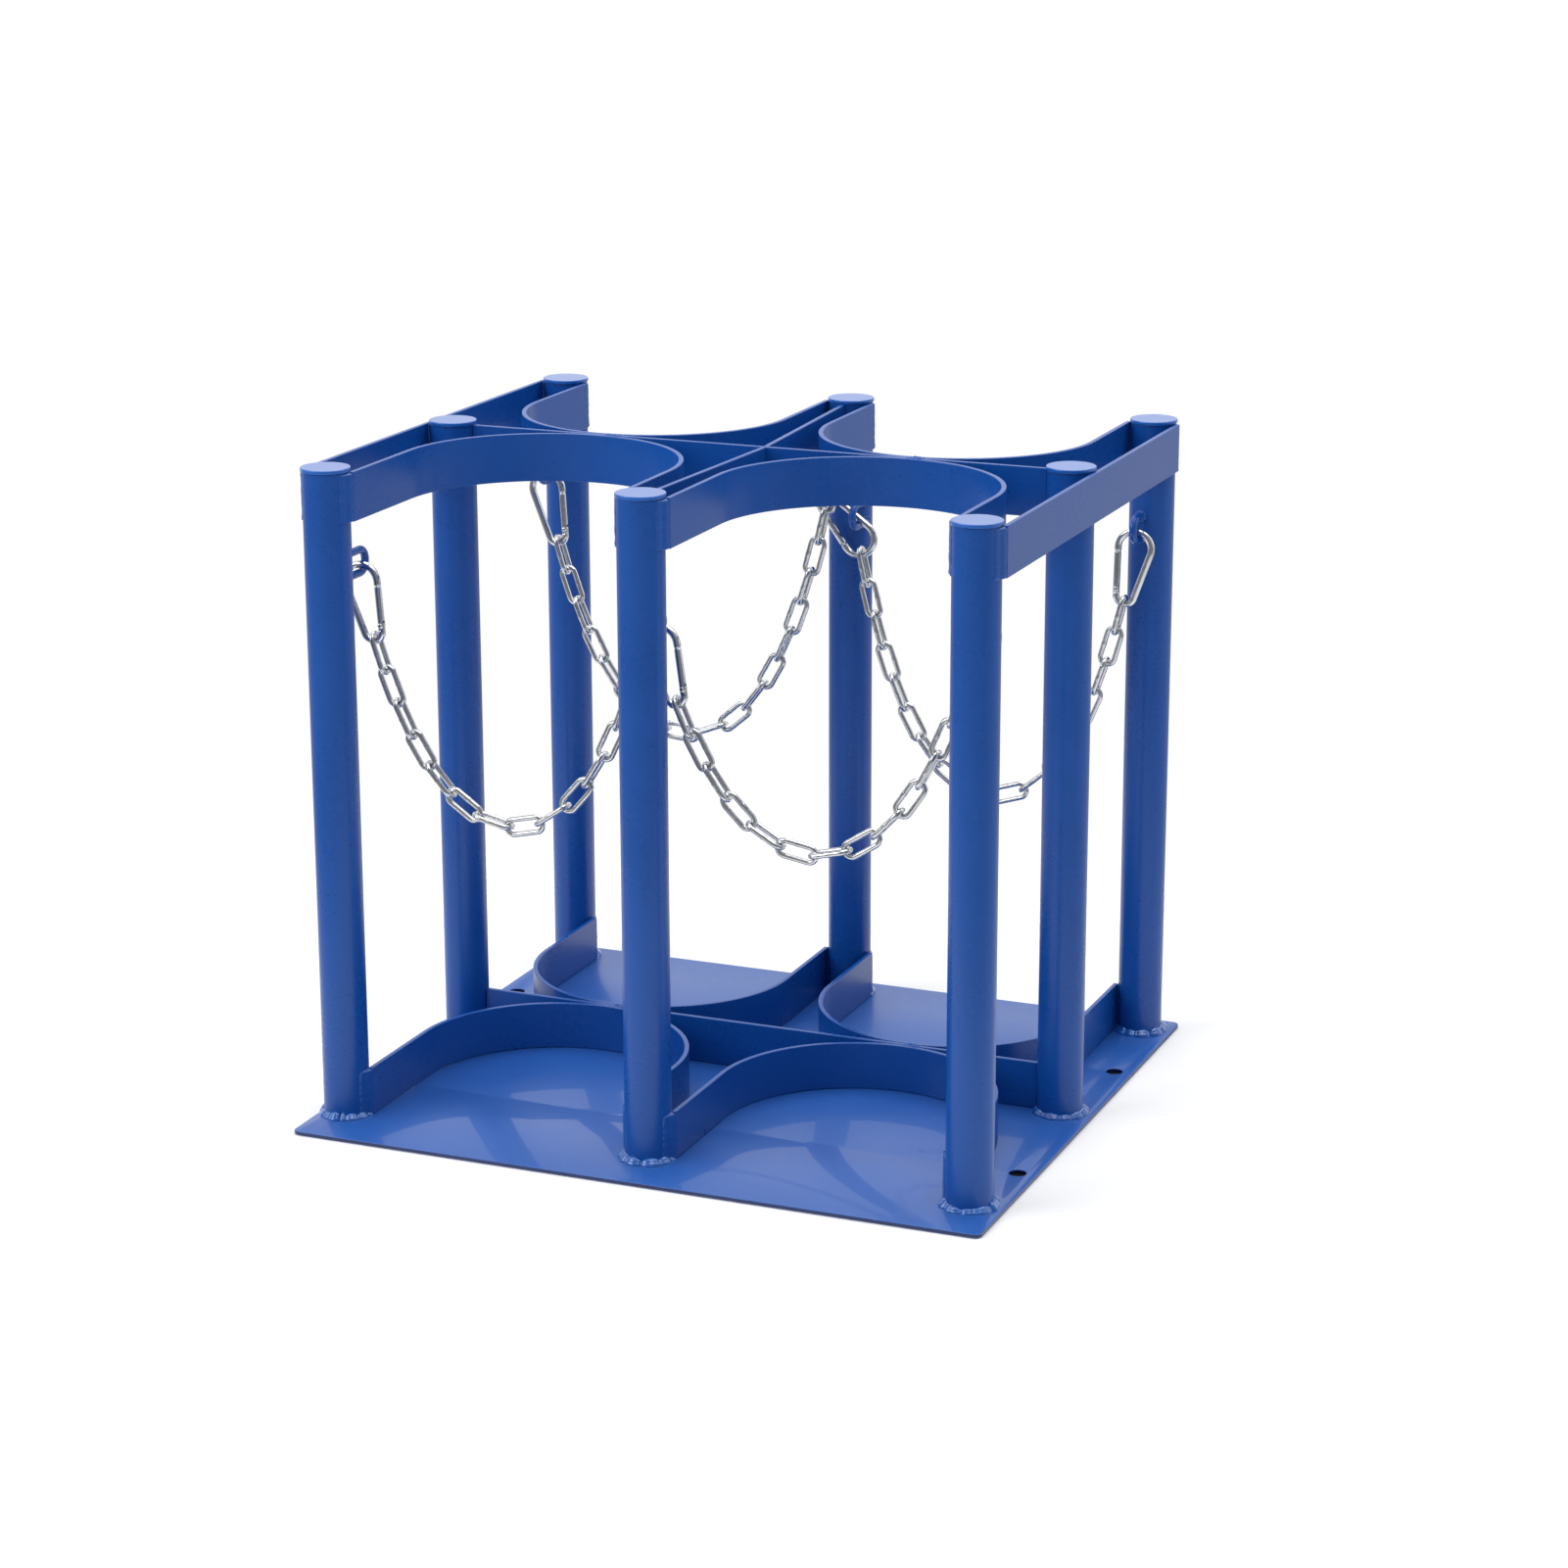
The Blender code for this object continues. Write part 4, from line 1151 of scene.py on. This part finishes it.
@dataclass
class SnapHook:
    """A pear-shaped spring hook of bent wire with a riveted gate.

    In its own frame the gate's pivot is the origin, the load line runs up, and the gate is at -X.
    """

    wire: float = 6 * MM
    length: float = 70 * MM
    wide_width: float = 35 * MM
    narrow_width: float = 22 * MM
    wire_sides: int = 20
    wide_steps: int = 48
    narrow_steps: int = 32
    spine_rings: int = 8
    nose: float = 3 * MM
    nose_rings: Pair = (0.6, 0.3)
    gate_diameter: float = 5.8 * MM
    gate_gap: float = 0.5 * MM
    gate_sides: int = 24
    gate_tip_round: float = 1.2 * MM
    gate_tip_degrees: tuple[float, ...] = (0, 25, 50, 70, 84)
    gate_foot_ring: float = 1 * MM
    cheek_steps: int = 12
    cheek_rings: tuple[Pair, ...] = ((-0.9, 0.55), (-0.5, 0.88), (0.0, 1.0))
    cheek_overlap: float = 0.2 * MM
    pivot_from_bend: float = 5 * MM
    tongue_thickness: float = 2.2 * MM
    tongue_width: float = 5.6 * MM
    tongue_edge: float = 0.25 * MM
    tongue_steps: int = 16
    slot_gap: float = 0.4 * MM
    slot_above_tongue: float = 1.2 * MM
    rivet_radius: float = 1.1 * MM
    rivet_head_radius: float = 2.0 * MM
    rivet_head_height: float = 0.96 * MM
    rivet_head_degrees: float = 84.0
    rivet_head_steps: int = 6
    rivet_seat_gap: float = 0.1 * MM
    side_hold_share: float = 0.63

    def wide_radius(self) -> float:
        """Give the wide bend's radius at the middle of the wire."""
        return (self.wide_width - self.wire) / 2

    def narrow_radius(self) -> float:
        """Give the narrow bend's radius at the middle of the wire."""
        return (self.narrow_width - self.wire) / 2

    def centres(self) -> float:
        """Give the distance between the centres of the two bends."""
        return self.length - (self.wide_width + self.narrow_width) / 2

    def slant(self) -> float:
        """Give the angle between the straight sides and the load line."""
        return math.asin((self.wide_radius() - self.narrow_radius()) / self.centres())

    def across(self) -> np.ndarray:
        """Give the direction in X and Z from a bend's centre to where its straight side starts."""
        return np.array([math.cos(self.slant()), -math.sin(self.slant())])

    def narrow_centre(self) -> np.ndarray:
        """Give the narrow bend's centre in X and Z."""
        out, drop = self.across()
        return np.array([self.narrow_radius() * out - self.pivot_from_bend * drop,
                         -self.narrow_radius() * drop - self.pivot_from_bend * out])

    def wide_centre(self) -> np.ndarray:
        """Give the wide bend's centre in X and Z."""
        return self.narrow_centre() + [0, self.centres()]

    def side_hold(self) -> np.ndarray:
        """Give the point of the straight side that an eye holds, from the wide bend's centre."""
        by_narrow = self.narrow_radius() * self.across() - [0, self.centres()]
        by_wide = self.wide_radius() * self.across()
        return by_narrow + self.side_hold_share * (by_wide - by_narrow)

    def gate_turn(self) -> Matrix:
        """Give the matrix that stands something drawn along Z on the gate's side."""
        return Matrix.Rotation(-self.slant(), 4, "Y")

    def gate_length(self) -> float:
        """Give the gate's length from its pivot to its tip."""
        return (self.centres() * math.cos(self.slant()) - self.pivot_from_bend - self.nose
                - self.gate_gap)

    def body(self) -> Surface:
        """Build what the gate turns on.

        Returns:
            The bent wire, its tongue between the gate's cheeks, and the rivet.
        """
        slant = math.degrees(self.slant())
        wide = arc_points(self.wide_centre(), self.wide_radius(), 180 + slant, -slant,
                          self.wide_steps)
        narrow = arc_points(self.narrow_centre(), self.narrow_radius(), -slant, slant - 180,
                            self.narrow_steps)
        tip = wide[0] - self.across()[::-1] * self.nose * np.array(self.nose_rings)[:, None]
        spine = np.linspace(wide[-1], narrow[0], self.spine_rings + 2)[1:-1]
        path, radii = domed_start(np.concatenate([tip, wide, spine, narrow]), self.wire / 2)
        return join([swept_wire(path, radii, self.wire_sides), self.tongue(), self.rivet()])

    def tongue(self) -> Surface:
        """Carry an outline with a round top through the tongue's thickness.

        Returns:
            The flat tongue.
        """
        half, inset = self.tongue_width / 2, self.tongue_edge
        foot = -self.pivot_from_bend - half
        outline = np.concatenate([arc_points((0, 0), half, 0, 180, self.tongue_steps),
                                  [[-half, foot], [half, foot]]])
        levels = self.tongue_thickness / 2 * np.array([-1, -1, 1, 1]) + [0, inset, -inset, 0]
        shrink = np.array([1 - inset / half, 1, 1, 1 - inset / half])[:, None, None]
        middle = np.array([0, foot / 2])
        rings = middle + (outline - middle) * shrink
        points = np.stack([rings[..., 0], np.broadcast_to(levels[:, None], rings.shape[:2]),
                           rings[..., 1]], axis=-1)
        return grid_surface(points, closed=False).placed(self.gate_turn())

    def rivet(self) -> Surface:
        """Turn a shank with a low domed head on either side about Y.

        Returns:
            The rivet.
        """
        seat = self.gate_diameter / 2 + self.rivet_seat_gap
        dome = arc_points((0, 0), 1.0, 0, self.rivet_head_degrees, self.rivet_head_steps)
        head = dome * [self.rivet_head_radius, self.rivet_head_height] + [0, seat]
        shank = [[self.rivet_radius, -seat], [self.rivet_radius, seat]]
        profile = np.concatenate([head[::-1] * [1, -1], shank, head])
        solid = turned(profile, self.gate_sides, closed=False)
        return Surface(solid.points[:, [0, 2, 1]], solid.faces)

    def gate(self) -> Surface:
        """Build the gate: a rod with a domed tip, and two cheeks that hold the tongue.

        Above the slot the section is a circle. Each cheek keeps the part of the circle beyond
        the slot's half width. The cheek_rings are each a height over the pivot as a share of the
        gate's radius, and the cheek's width there as a share of its full width.

        Returns:
            The gate's surface.
        """
        radius, tip = self.gate_diameter / 2, self.gate_tip_round
        slot_half = self.tongue_thickness / 2 + self.slot_gap
        slot_top = self.tongue_width / 2 + self.slot_above_tongue
        dome = np.radians(self.gate_tip_degrees)
        heights = np.concatenate([[slot_top, slot_top + self.gate_foot_ring],
                                  self.gate_length() - tip * (1 - np.sin(dome))])
        radii = np.concatenate([[radius, radius], radius - tip * (1 - np.cos(dome))])
        path = np.stack([np.zeros(len(heights)), heights], axis=1)
        reach = math.degrees(math.acos(slot_half / radius))
        levels, narrow = np.array(self.cheek_rings).T
        levels = np.append(levels * radius, slot_top + self.cheek_overlap)[:, None]
        narrow = np.append(narrow, 1.0)[:, None]
        shells = [swept_wire(path, radii, self.gate_sides)]
        for side in (-1, 1):
            out, across = arc_points((0, 0), radius, -reach, reach, self.cheek_steps).T
            shells.append(grid_surface(np.stack(np.broadcast_arrays(
                across * narrow, side * out, levels), axis=-1), closed=False))
        return join(shells).placed(self.gate_turn())


@dataclass
class Hanging:
    """One stiff piece of a hanging chain, with its ends once it has been hung."""

    kind: str
    length: float
    weight: float = 0.0
    side: str = ""
    start: np.ndarray = field(default_factory=lambda: np.zeros(2))
    end: np.ndarray = field(default_factory=lambda: np.zeros(2))

    def along(self) -> np.ndarray:
        """Give the direction from its start to its end."""
        return unit(self.end - self.start)


@dataclass
class Chain:
    """A chain of links between two eyes, with its snap hooks and their gates."""

    place: str
    links: int
    left_end: ChainEnd
    right_end: ChainEnd
    left_hang: Pair
    right_hang: Pair
    eye_reach: float
    link: Link = field(default_factory=Link)
    hook: SnapHook = field(default_factory=SnapHook)
    eye_wire: float = 6.5 * MM
    eye_inner_height: float = 12.5 * MM
    eye_steps: int = 28
    eye_sides: int = 20
    eye_leg_rings: int = 9
    eye_weld: float = 2.2 * MM
    eye_weld_lump: float = 3.5 * MM
    eye_weld_out: float = 0.5 * MM
    eye_weld_in: float = 0.6 * MM
    eye_weld_steps: int = 64
    eye_weld_widest: float = 0.97
    bend_past_chain: float = 1 * MM
    hanging_gap: float = 0.9 * MM
    hook_weight: float = 30.0
    link_weight: float = 7.0
    first_pull: Pair = (0.15, 0.5)
    nudge_share: float = 1e-5
    largest_step: float = 0.5
    rounds: int = 60

    def row(self) -> str:
        """Give the row of posts that the chain hangs on."""
        return self.place.split("_")[0]

    def sides(self) -> tuple[str, str]:
        """Give which end is at the chain's left and which at its right."""
        return ("outer", "inner") if self.place.endswith("left") else ("inner", "outer")

    def post(self, side: str) -> Post:
        """Give the post that holds an end."""
        return Post(self.place if side == "outer" else f"{self.row()}_middle")

    def plane_y(self) -> float:
        """Give the depth at which the chain hangs."""
        return float(self.post("outer").axis()[1] + ROWS[self.row()] * self.eye_reach)

    def hanging_points(self) -> list[np.ndarray]:
        """Give the two points, in X and Z, where the wires of the chain's ends hang.

        Each is given sideways from its post's axis and down from the upper bars' lower edge.
        """
        bars = span("top_cross_bar")[0][2]
        return [np.array([self.post(side).axis()[0] + sideways, bars - down])
                for side, (sideways, down) in zip(self.sides(), (self.left_hang, self.right_hang))]

    def end_pieces(self, end: ChainEnd, side: str) -> list[Hanging]:
        """Give the pieces at one end, from the eye towards the links.

        Args:
            end: What holds the end.
            side: Which end it is, outer or inner.

        Returns:
            A hook and the joint to the first link, or nothing where a link hangs on the eye.
        """
        hook = self.hook
        if end is ChainEnd.LINK:
            return []
        if end is ChainEnd.HOOK:
            length, bend = hook.wide_radius() + hook.centres(), hook.narrow_radius()
        else:
            length, bend = float(np.linalg.norm(hook.side_hold())), hook.wide_radius()
        joint = bend - (hook.wire + self.link.wire) / 2 - self.hanging_gap
        return [Hanging(end.name, length, self.hook_weight, side), Hanging("joint", joint)]

    def pieces(self) -> list[Hanging]:
        """List the pieces from the left eye to the right eye.

        Returns:
            The pieces, not hung yet.
        """
        first, last = [self.end_pieces(end, side) for end, side in
                       zip((self.left_end, self.right_end), self.sides())]
        kinds = [("cross_link", self.link.tip_to_tip()), ("level_link", self.link.straight())]
        links: list[Hanging] = []
        for index in range(self.links):
            if links:
                links.append(Hanging("joint", self.link.bend_radius() - self.link.wire))
            links.append(Hanging(*kinds[index % 2], self.link_weight))
        if not last:
            links[-1].length += self.link.bend_radius()
        return first + links + last[::-1]

    def hang(self) -> list[Hanging]:
        """Let the pieces hang, each in line with the pull on it.

        The pull is the same sideways everywhere, and upwards it is the left end's pull less the
        weight passed up to the piece's middle. Newton's method finds the two pulls that make
        the lengths reach from one eye to the other. No step changes the sideways pull by more
        than the share largest_step.

        Returns:
            The pieces, with their ends in X and Z.
        """
        pieces = self.pieces()
        lengths = np.array([piece.length for piece in pieces])[:, None]
        weights = np.array([piece.weight for piece in pieces])
        passed = np.cumsum(weights) - weights / 2
        start, goal = self.hanging_points()

        def steps(pull: np.ndarray) -> np.ndarray:
            """Give each piece's step in X and Z under a sideways and an upwards pull."""
            way = np.stack([np.full(len(passed), pull[0]), passed - pull[1]], axis=1)
            return lengths * unit(way)

        pull = np.array(self.first_pull) * weights.sum()
        nudge = self.nudge_share * weights.sum()
        for _ in range(self.rounds):
            reached = start + steps(pull).sum(axis=0)
            slopes = [(start + steps(pull + nudge * unit).sum(axis=0) - reached) / nudge
                      for unit in np.eye(2)]
            change = -np.linalg.solve(np.array(slopes).T, reached - goal)
            limit = self.largest_step * pull[0] / max(abs(change[0]), TINY)
            pull = pull + change * min(1.0, limit)
        ends = start + np.cumsum(steps(pull), axis=0)
        for piece, one, two in zip(pieces, [start, *ends[:-1]], ends):
            piece.start, piece.end = one, two
        return pieces

    def link_place(self, piece: Hanging) -> Matrix:
        """Place a link.

        Args:
            piece: The hung link.

        Returns:
            The matrix that turns X to its direction and stands a cross link upright.
        """
        along = piece.along()
        middle, stand = (piece.start + piece.end) / 2, math.pi / 2
        if piece.kind == "level_link":
            middle, stand = piece.start + along * self.link.straight() / 2, 0
        slope = Matrix.Rotation(-math.atan2(along[1], along[0]), 4, "Y")
        return (Matrix.Translation((middle[0], self.plane_y(), middle[1])) @ slope
                @ Matrix.Rotation(stand, 4, "X"))

    def hook_place(self, piece: Hanging, at_left: bool) -> Matrix:
        """Place a hook.

        Args:
            piece: The hung hook.
            at_left: Whether it is at the chain's left end.

        Returns:
            The matrix that leans the hook along the pull, with its held point on the eye. A
            side-hung hook is turned until its wide bend's centre lies on the pull.
        """
        top, up = (piece.start, -piece.along()) if at_left else (piece.end, piece.along())
        spin = Matrix.Rotation(math.pi if at_left else 0, 4, "Z")
        hold = np.array([0, self.hook.wide_radius()])
        if piece.kind == ChainEnd.SIDE_HUNG_HOOK.name:
            hold = self.hook.side_hold()
            tilt = math.atan2(hold[0], -hold[1]) * (-1 if at_left else 1)
            spin = Matrix.Rotation(tilt, 4, "Y") @ spin @ Matrix.Rotation(math.pi, 4, "Y")
        held = self.hook.wide_centre() + hold
        return (Matrix.Translation((top[0], self.plane_y(), top[1]))
                @ Matrix.Rotation(math.atan2(up[0], up[1]), 4, "Y") @ spin
                @ Matrix.Translation((-held[0], 0, -held[1])))

    def build_eye(self, side: str) -> None:
        """Build an eye and the welds where its two legs meet the post.

        The rod's path is two legs square to the row, joined by half a circle. Each weld follows
        the line where a leg goes into the post: round the leg in X and Z, at the depth of the
        post's surface there.

        Args:
            side: Which end it is, outer or inner.
        """
        node, post, way = f"chain_eye_{self.place}_{side}", self.post(side), ROWS[self.row()]
        middle, axis, radius = centre(node), post.axis(), post.radius()
        bend_radius = (self.eye_inner_height + self.eye_wire) / 2
        reach = self.eye_reach + self.bend_past_chain
        offset = float(axis[0] - middle[0])
        start = math.sqrt(radius ** 2 - offset ** 2) - self.eye_wire / 2
        leg = np.linspace((start, -bend_radius), (reach, -bend_radius),
                          self.eye_leg_rings + 1)[:-1]
        path = np.concatenate([leg, arc_points((reach, 0), bend_radius, -90, 90, self.eye_steps),
                               leg[::-1] * [1, -1]])
        place = (Matrix.Translation((middle[0], axis[1], middle[2]))
                 @ Matrix.Rotation(way * math.pi / 2, 4, "Z"))
        rod = swept_wire(path, self.eye_wire / 2, self.eye_sides)
        show(f"eye_rod_{self.place}_{side}", rod.placed(place), EYE_PAINT, RACK_BODY, node)
        ring_radius = self.eye_wire / 2 + self.eye_weld_out
        out = np.insert(circle(self.eye_weld_steps), 1, 0, axis=1)
        widest = self.eye_weld_widest * radius
        x = np.clip(ring_radius * out[:, 0] - offset, -widest, widest)
        y = way * np.sqrt(radius ** 2 - x ** 2)
        beads = []
        for seed, height in enumerate((-bend_radius, bend_radius), 3):
            corner = np.stack([x, y, height + ring_radius * out[:, 2]], axis=1)
            corner += [*axis, middle[2]]
            bead = Fillet(self.eye_weld, self.eye_weld_lump, seed=seed)
            beads.append(bead.along(corner - self.eye_weld_in * out, out, way * DEPTH,
                                    closed=True))
        show(f"eye_weld_{self.place}_{side}", join(beads), WELD_PAINT, RACK_BODY)

    def build(self) -> None:
        """Hang the chain, then build its links, hooks, gates and eyes."""
        pieces = self.hang()
        body = f"swinging_chain_{self.place}"
        link = self.link.surface()
        chain = join([link.placed(self.link_place(piece)) for piece in pieces
                      if "link" in piece.kind])
        show(f"links_{self.place}", chain, ZINC, body, f"chain_{self.place}")
        for piece in (pieces[0], pieces[-1]):
            if "HOOK" in piece.kind:
                place = self.hook_place(piece, piece is pieces[0])
                key = f"{self.place}_{piece.side}"
                show(f"hook_wire_{key}", self.hook.body().placed(place), HOOK_ZINC, body,
                     f"snap_hook_{key}")
                show(f"gate_rod_{key}", self.hook.gate().placed(place), HOOK_ZINC,
                     f"sprung_gate_{key}", f"hook_gate_{key}")
        for side in self.sides():
            self.build_eye(side)


CHAINS = (
    Chain("front_left", 16, ChainEnd.HOOK, ChainEnd.LINK,
          (0.0, 45.4 * MM), (-8.4 * MM, 47.0 * MM), 47 * MM),
    Chain("front_right", 13, ChainEnd.HOOK, ChainEnd.HOOK,
          (-2.0 * MM, 69.2 * MM), (-3.4 * MM, 37.8 * MM), 29 * MM),
    Chain("back_left", 18, ChainEnd.HOOK, ChainEnd.LINK,
          (-0.6 * MM, 34.7 * MM), (2.1 * MM, 17.3 * MM), 47 * MM),
    Chain("back_right", 17, ChainEnd.SIDE_HUNG_HOOK, ChainEnd.HOOK,
          (15.0 * MM, 53.9 * MM), (-2.7 * MM, 48.8 * MM), 29 * MM),
)


@dataclass
class Studio:
    """A pale floor, soft lamps and the photograph's camera.

    The camera's place and angles were fitted to the posts and the plate. Its focal length is in
    pixels of the photograph. The tones near and far are each a depth and the tone there. Each
    lamp has a name, a place, a side and its watts.
    """

    eye: tuple[float, float, float] = (1.2044, -2.8597, 1.1381)
    yaw: float = 0.3898486
    pitch: float = 0.2759136
    roll: float = 0.00226693
    focal_px: float = 3958.48
    sensor_mm: float = 36.0
    view_end: float = 100.0
    floor_half: float = 12.0
    floor_drop: float = 0.6 * MM
    floor_tone: float = 0.93
    # Painted shade: the floor's tone under the plate.
    painted_shade_under_plate_tone: float = 0.02
    under_plate_inset: float = 6 * MM
    white_range: Pair = (0.50, 1.20)
    ambient: float = 0.54
    floor_near: Pair = (-1.0, 0.20)
    floor_far: Pair = (0.6, 0.60)
    room_near: Pair = (-0.5, 0.22)
    room_far: Pair = (0.6, 1.0)
    lamp_target: tuple[float, float, float] = (0.0, 0.0, 0.25)
    lamps: tuple[tuple, ...] = (("key_lamp", (-2.6, -2.2, 2.4), 2.6, 68.0),
                                ("top_lamp", (0.2, 0.4, 3.2), 3.4, 88.0))

    def build_camera(self) -> None:
        """Place the camera from its yaw, pitch and roll."""
        forward = Vector((-math.sin(self.yaw) * math.cos(self.pitch),
                          math.cos(self.yaw) * math.cos(self.pitch), -math.sin(self.pitch)))
        level = Vector((math.cos(self.yaw), math.sin(self.yaw), 0))
        right = math.cos(self.roll) * level + math.sin(self.roll) * forward.cross(level)
        data = bpy.data.cameras.new("photo_camera")
        data.sensor_width = self.sensor_mm
        data.sensor_fit = "AUTO"
        data.lens = self.focal_px / PHOTO_SIDE_PX * self.sensor_mm
        data.clip_end = self.view_end
        camera = add_object("photo_camera", data)
        turn = Matrix([right, -forward.cross(right), -forward]).transposed()
        camera.matrix_world = Matrix.Translation(self.eye) @ turn.to_4x4()
        bpy.context.scene.camera = camera

    def build_floor(self) -> None:
        """Lay a pale floor that keeps the rack's shadow and turns plain white further out.

        Under the plate, where little light comes, it is painted dark as painted shade, so the
        anchor holes look dark.
        """
        mesh = bpy.data.meshes.new("floor")
        corners = [(x * self.floor_half, y * self.floor_half, -self.floor_drop)
                   for x, y in ((-1, -1), (1, -1), (1, 1), (-1, 1))]
        mesh.from_pydata(corners, [], [(0, 1, 2, 3)])
        floor = add_object("floor", mesh)
        material = bpy.data.materials.new("pale_floor")
        material.use_nodes = True
        tree = material.node_tree
        tree.nodes.clear()
        place = coordinates(tree)
        away = add_node(tree, "VectorMath", {0: place}, operation="LENGTH").outputs["Value"]
        fade = spread(tree, away, self.white_range, curve="SMOOTHSTEP")
        # Painted shade: the floor is dark under the plate.
        tone = blend(tree, "RGBA", self.under_plate(tree, place), (self.floor_tone,) * 3,
                     (self.painted_shade_under_plate_tone,) * 3)
        pale = add_node(tree, "BsdfDiffuse", {"Color": tone})
        white = add_node(tree, "Emission", {
            "Strength": self.studio_tone(tree, place, self.floor_near, self.floor_far)})
        mix = add_node(tree, "MixShader", {
            "Fac": calculated(tree, "MULTIPLY", fade, self.seen_directly(tree)),
            1: pale.outputs[0], 2: white.outputs[0]})
        add_node(tree, "OutputMaterial", {"Surface": mix.outputs[0]})
        mesh.materials.append(material)

    def under_plate(self, tree: Tree, place: Socket) -> Socket:
        """Find the floor under the plate, where both coordinates lie inside it: where the painted
        shade goes.

        Args:
            tree: The floor's nodes.
            place: A place on the floor.

        Returns:
            The socket of a value that is 1 there and 0 elsewhere.
        """
        size = add_node(tree, "VectorMath", {0: place}, operation="ABSOLUTE").outputs["Vector"]
        parts = add_node(tree, "SeparateXYZ", {0: size}).outputs
        low, high = span("base_plate")
        half = (np.minimum(-low, high)[:2] - self.under_plate_inset).tolist()
        return calculated(tree, "MULTIPLY", *[
            calculated(tree, "LESS_THAN", parts[index], limit)
            for index, limit in enumerate(half)])

    def studio_tone(self, tree: Tree, place: Socket, near: Pair, far: Pair) -> Socket:
        """Give how white the studio looks: 1 straight on, and in reflections darker at the front.

        Args:
            tree: The nodes of a stage material or of the world.
            place: A place on the floor, or a direction.
            near: A depth, and the tone there and before it.
            far: A depth, and the tone there and behind it.

        Returns:
            The socket that holds the tone.
        """
        depth = add_node(tree, "SeparateXYZ", {0: place}).outputs["Y"]
        tone = spread(tree, depth, *zip(near, far), curve="SMOOTHSTEP")
        straight = add_node(tree, "LightPath").outputs["Is Camera Ray"]
        return calculated(tree, "MAXIMUM", tone, straight)

    def seen_directly(self, tree: Tree) -> Socket:
        """Find the rays that look at the studio.

        Args:
            tree: The nodes of a stage material or of the world.

        Returns:
            The socket of a value that is 1 for camera, glossy and transmission rays.
        """
        rays = add_node(tree, "LightPath").outputs
        total = calculated(tree, "ADD", rays["Is Camera Ray"], rays["Is Glossy Ray"])
        total = calculated(tree, "ADD", total, rays["Is Transmission Ray"])
        return calculated(tree, "MINIMUM", total, 1.0)

    def build_world(self) -> None:
        """Make the surroundings white to look at, shaded in reflections and soft as light."""
        world = bpy.data.worlds.new("studio")
        world.use_nodes = True
        tree = world.node_tree
        tone = self.studio_tone(tree, coordinates(tree, "Generated"), self.room_near,
                                self.room_far)
        strength = blend(tree, "FLOAT", self.seen_directly(tree), self.ambient, tone)
        set_inputs(tree, tree.nodes["Background"], {"Color": (1, 1, 1, 1), "Strength": strength})
        bpy.context.scene.world = world

    def build_lamps(self) -> None:
        """Hang the soft square lamps, each facing the rack's middle."""
        for name, place, size, watts in self.lamps:
            data = bpy.data.lights.new(name, "AREA")
            data.size, data.energy = size, watts
            lamp = add_object(name, data)
            lamp.location = place
            aim = Vector(self.lamp_target) - Vector(place)
            lamp.rotation_euler = aim.to_track_quat("-Z", "Y").to_euler()

    def build(self) -> None:
        """Build the studio."""
        self.build_camera()
        self.build_floor()
        self.build_world()
        self.build_lamps()
        bpy.context.scene.view_settings.view_transform = "Standard"


def main() -> None:
    """Build the studio, the rack and its chains, and log each piece's faces."""
    logging.basicConfig(level=logging.INFO, format="%(name)s: %(message)s")
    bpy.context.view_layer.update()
    make_grain_group()
    make_mottle_group()
    Studio().build()
    Rack().build()
    for chain in CHAINS:
        chain.build()


if __name__ == "__main__":
    main()
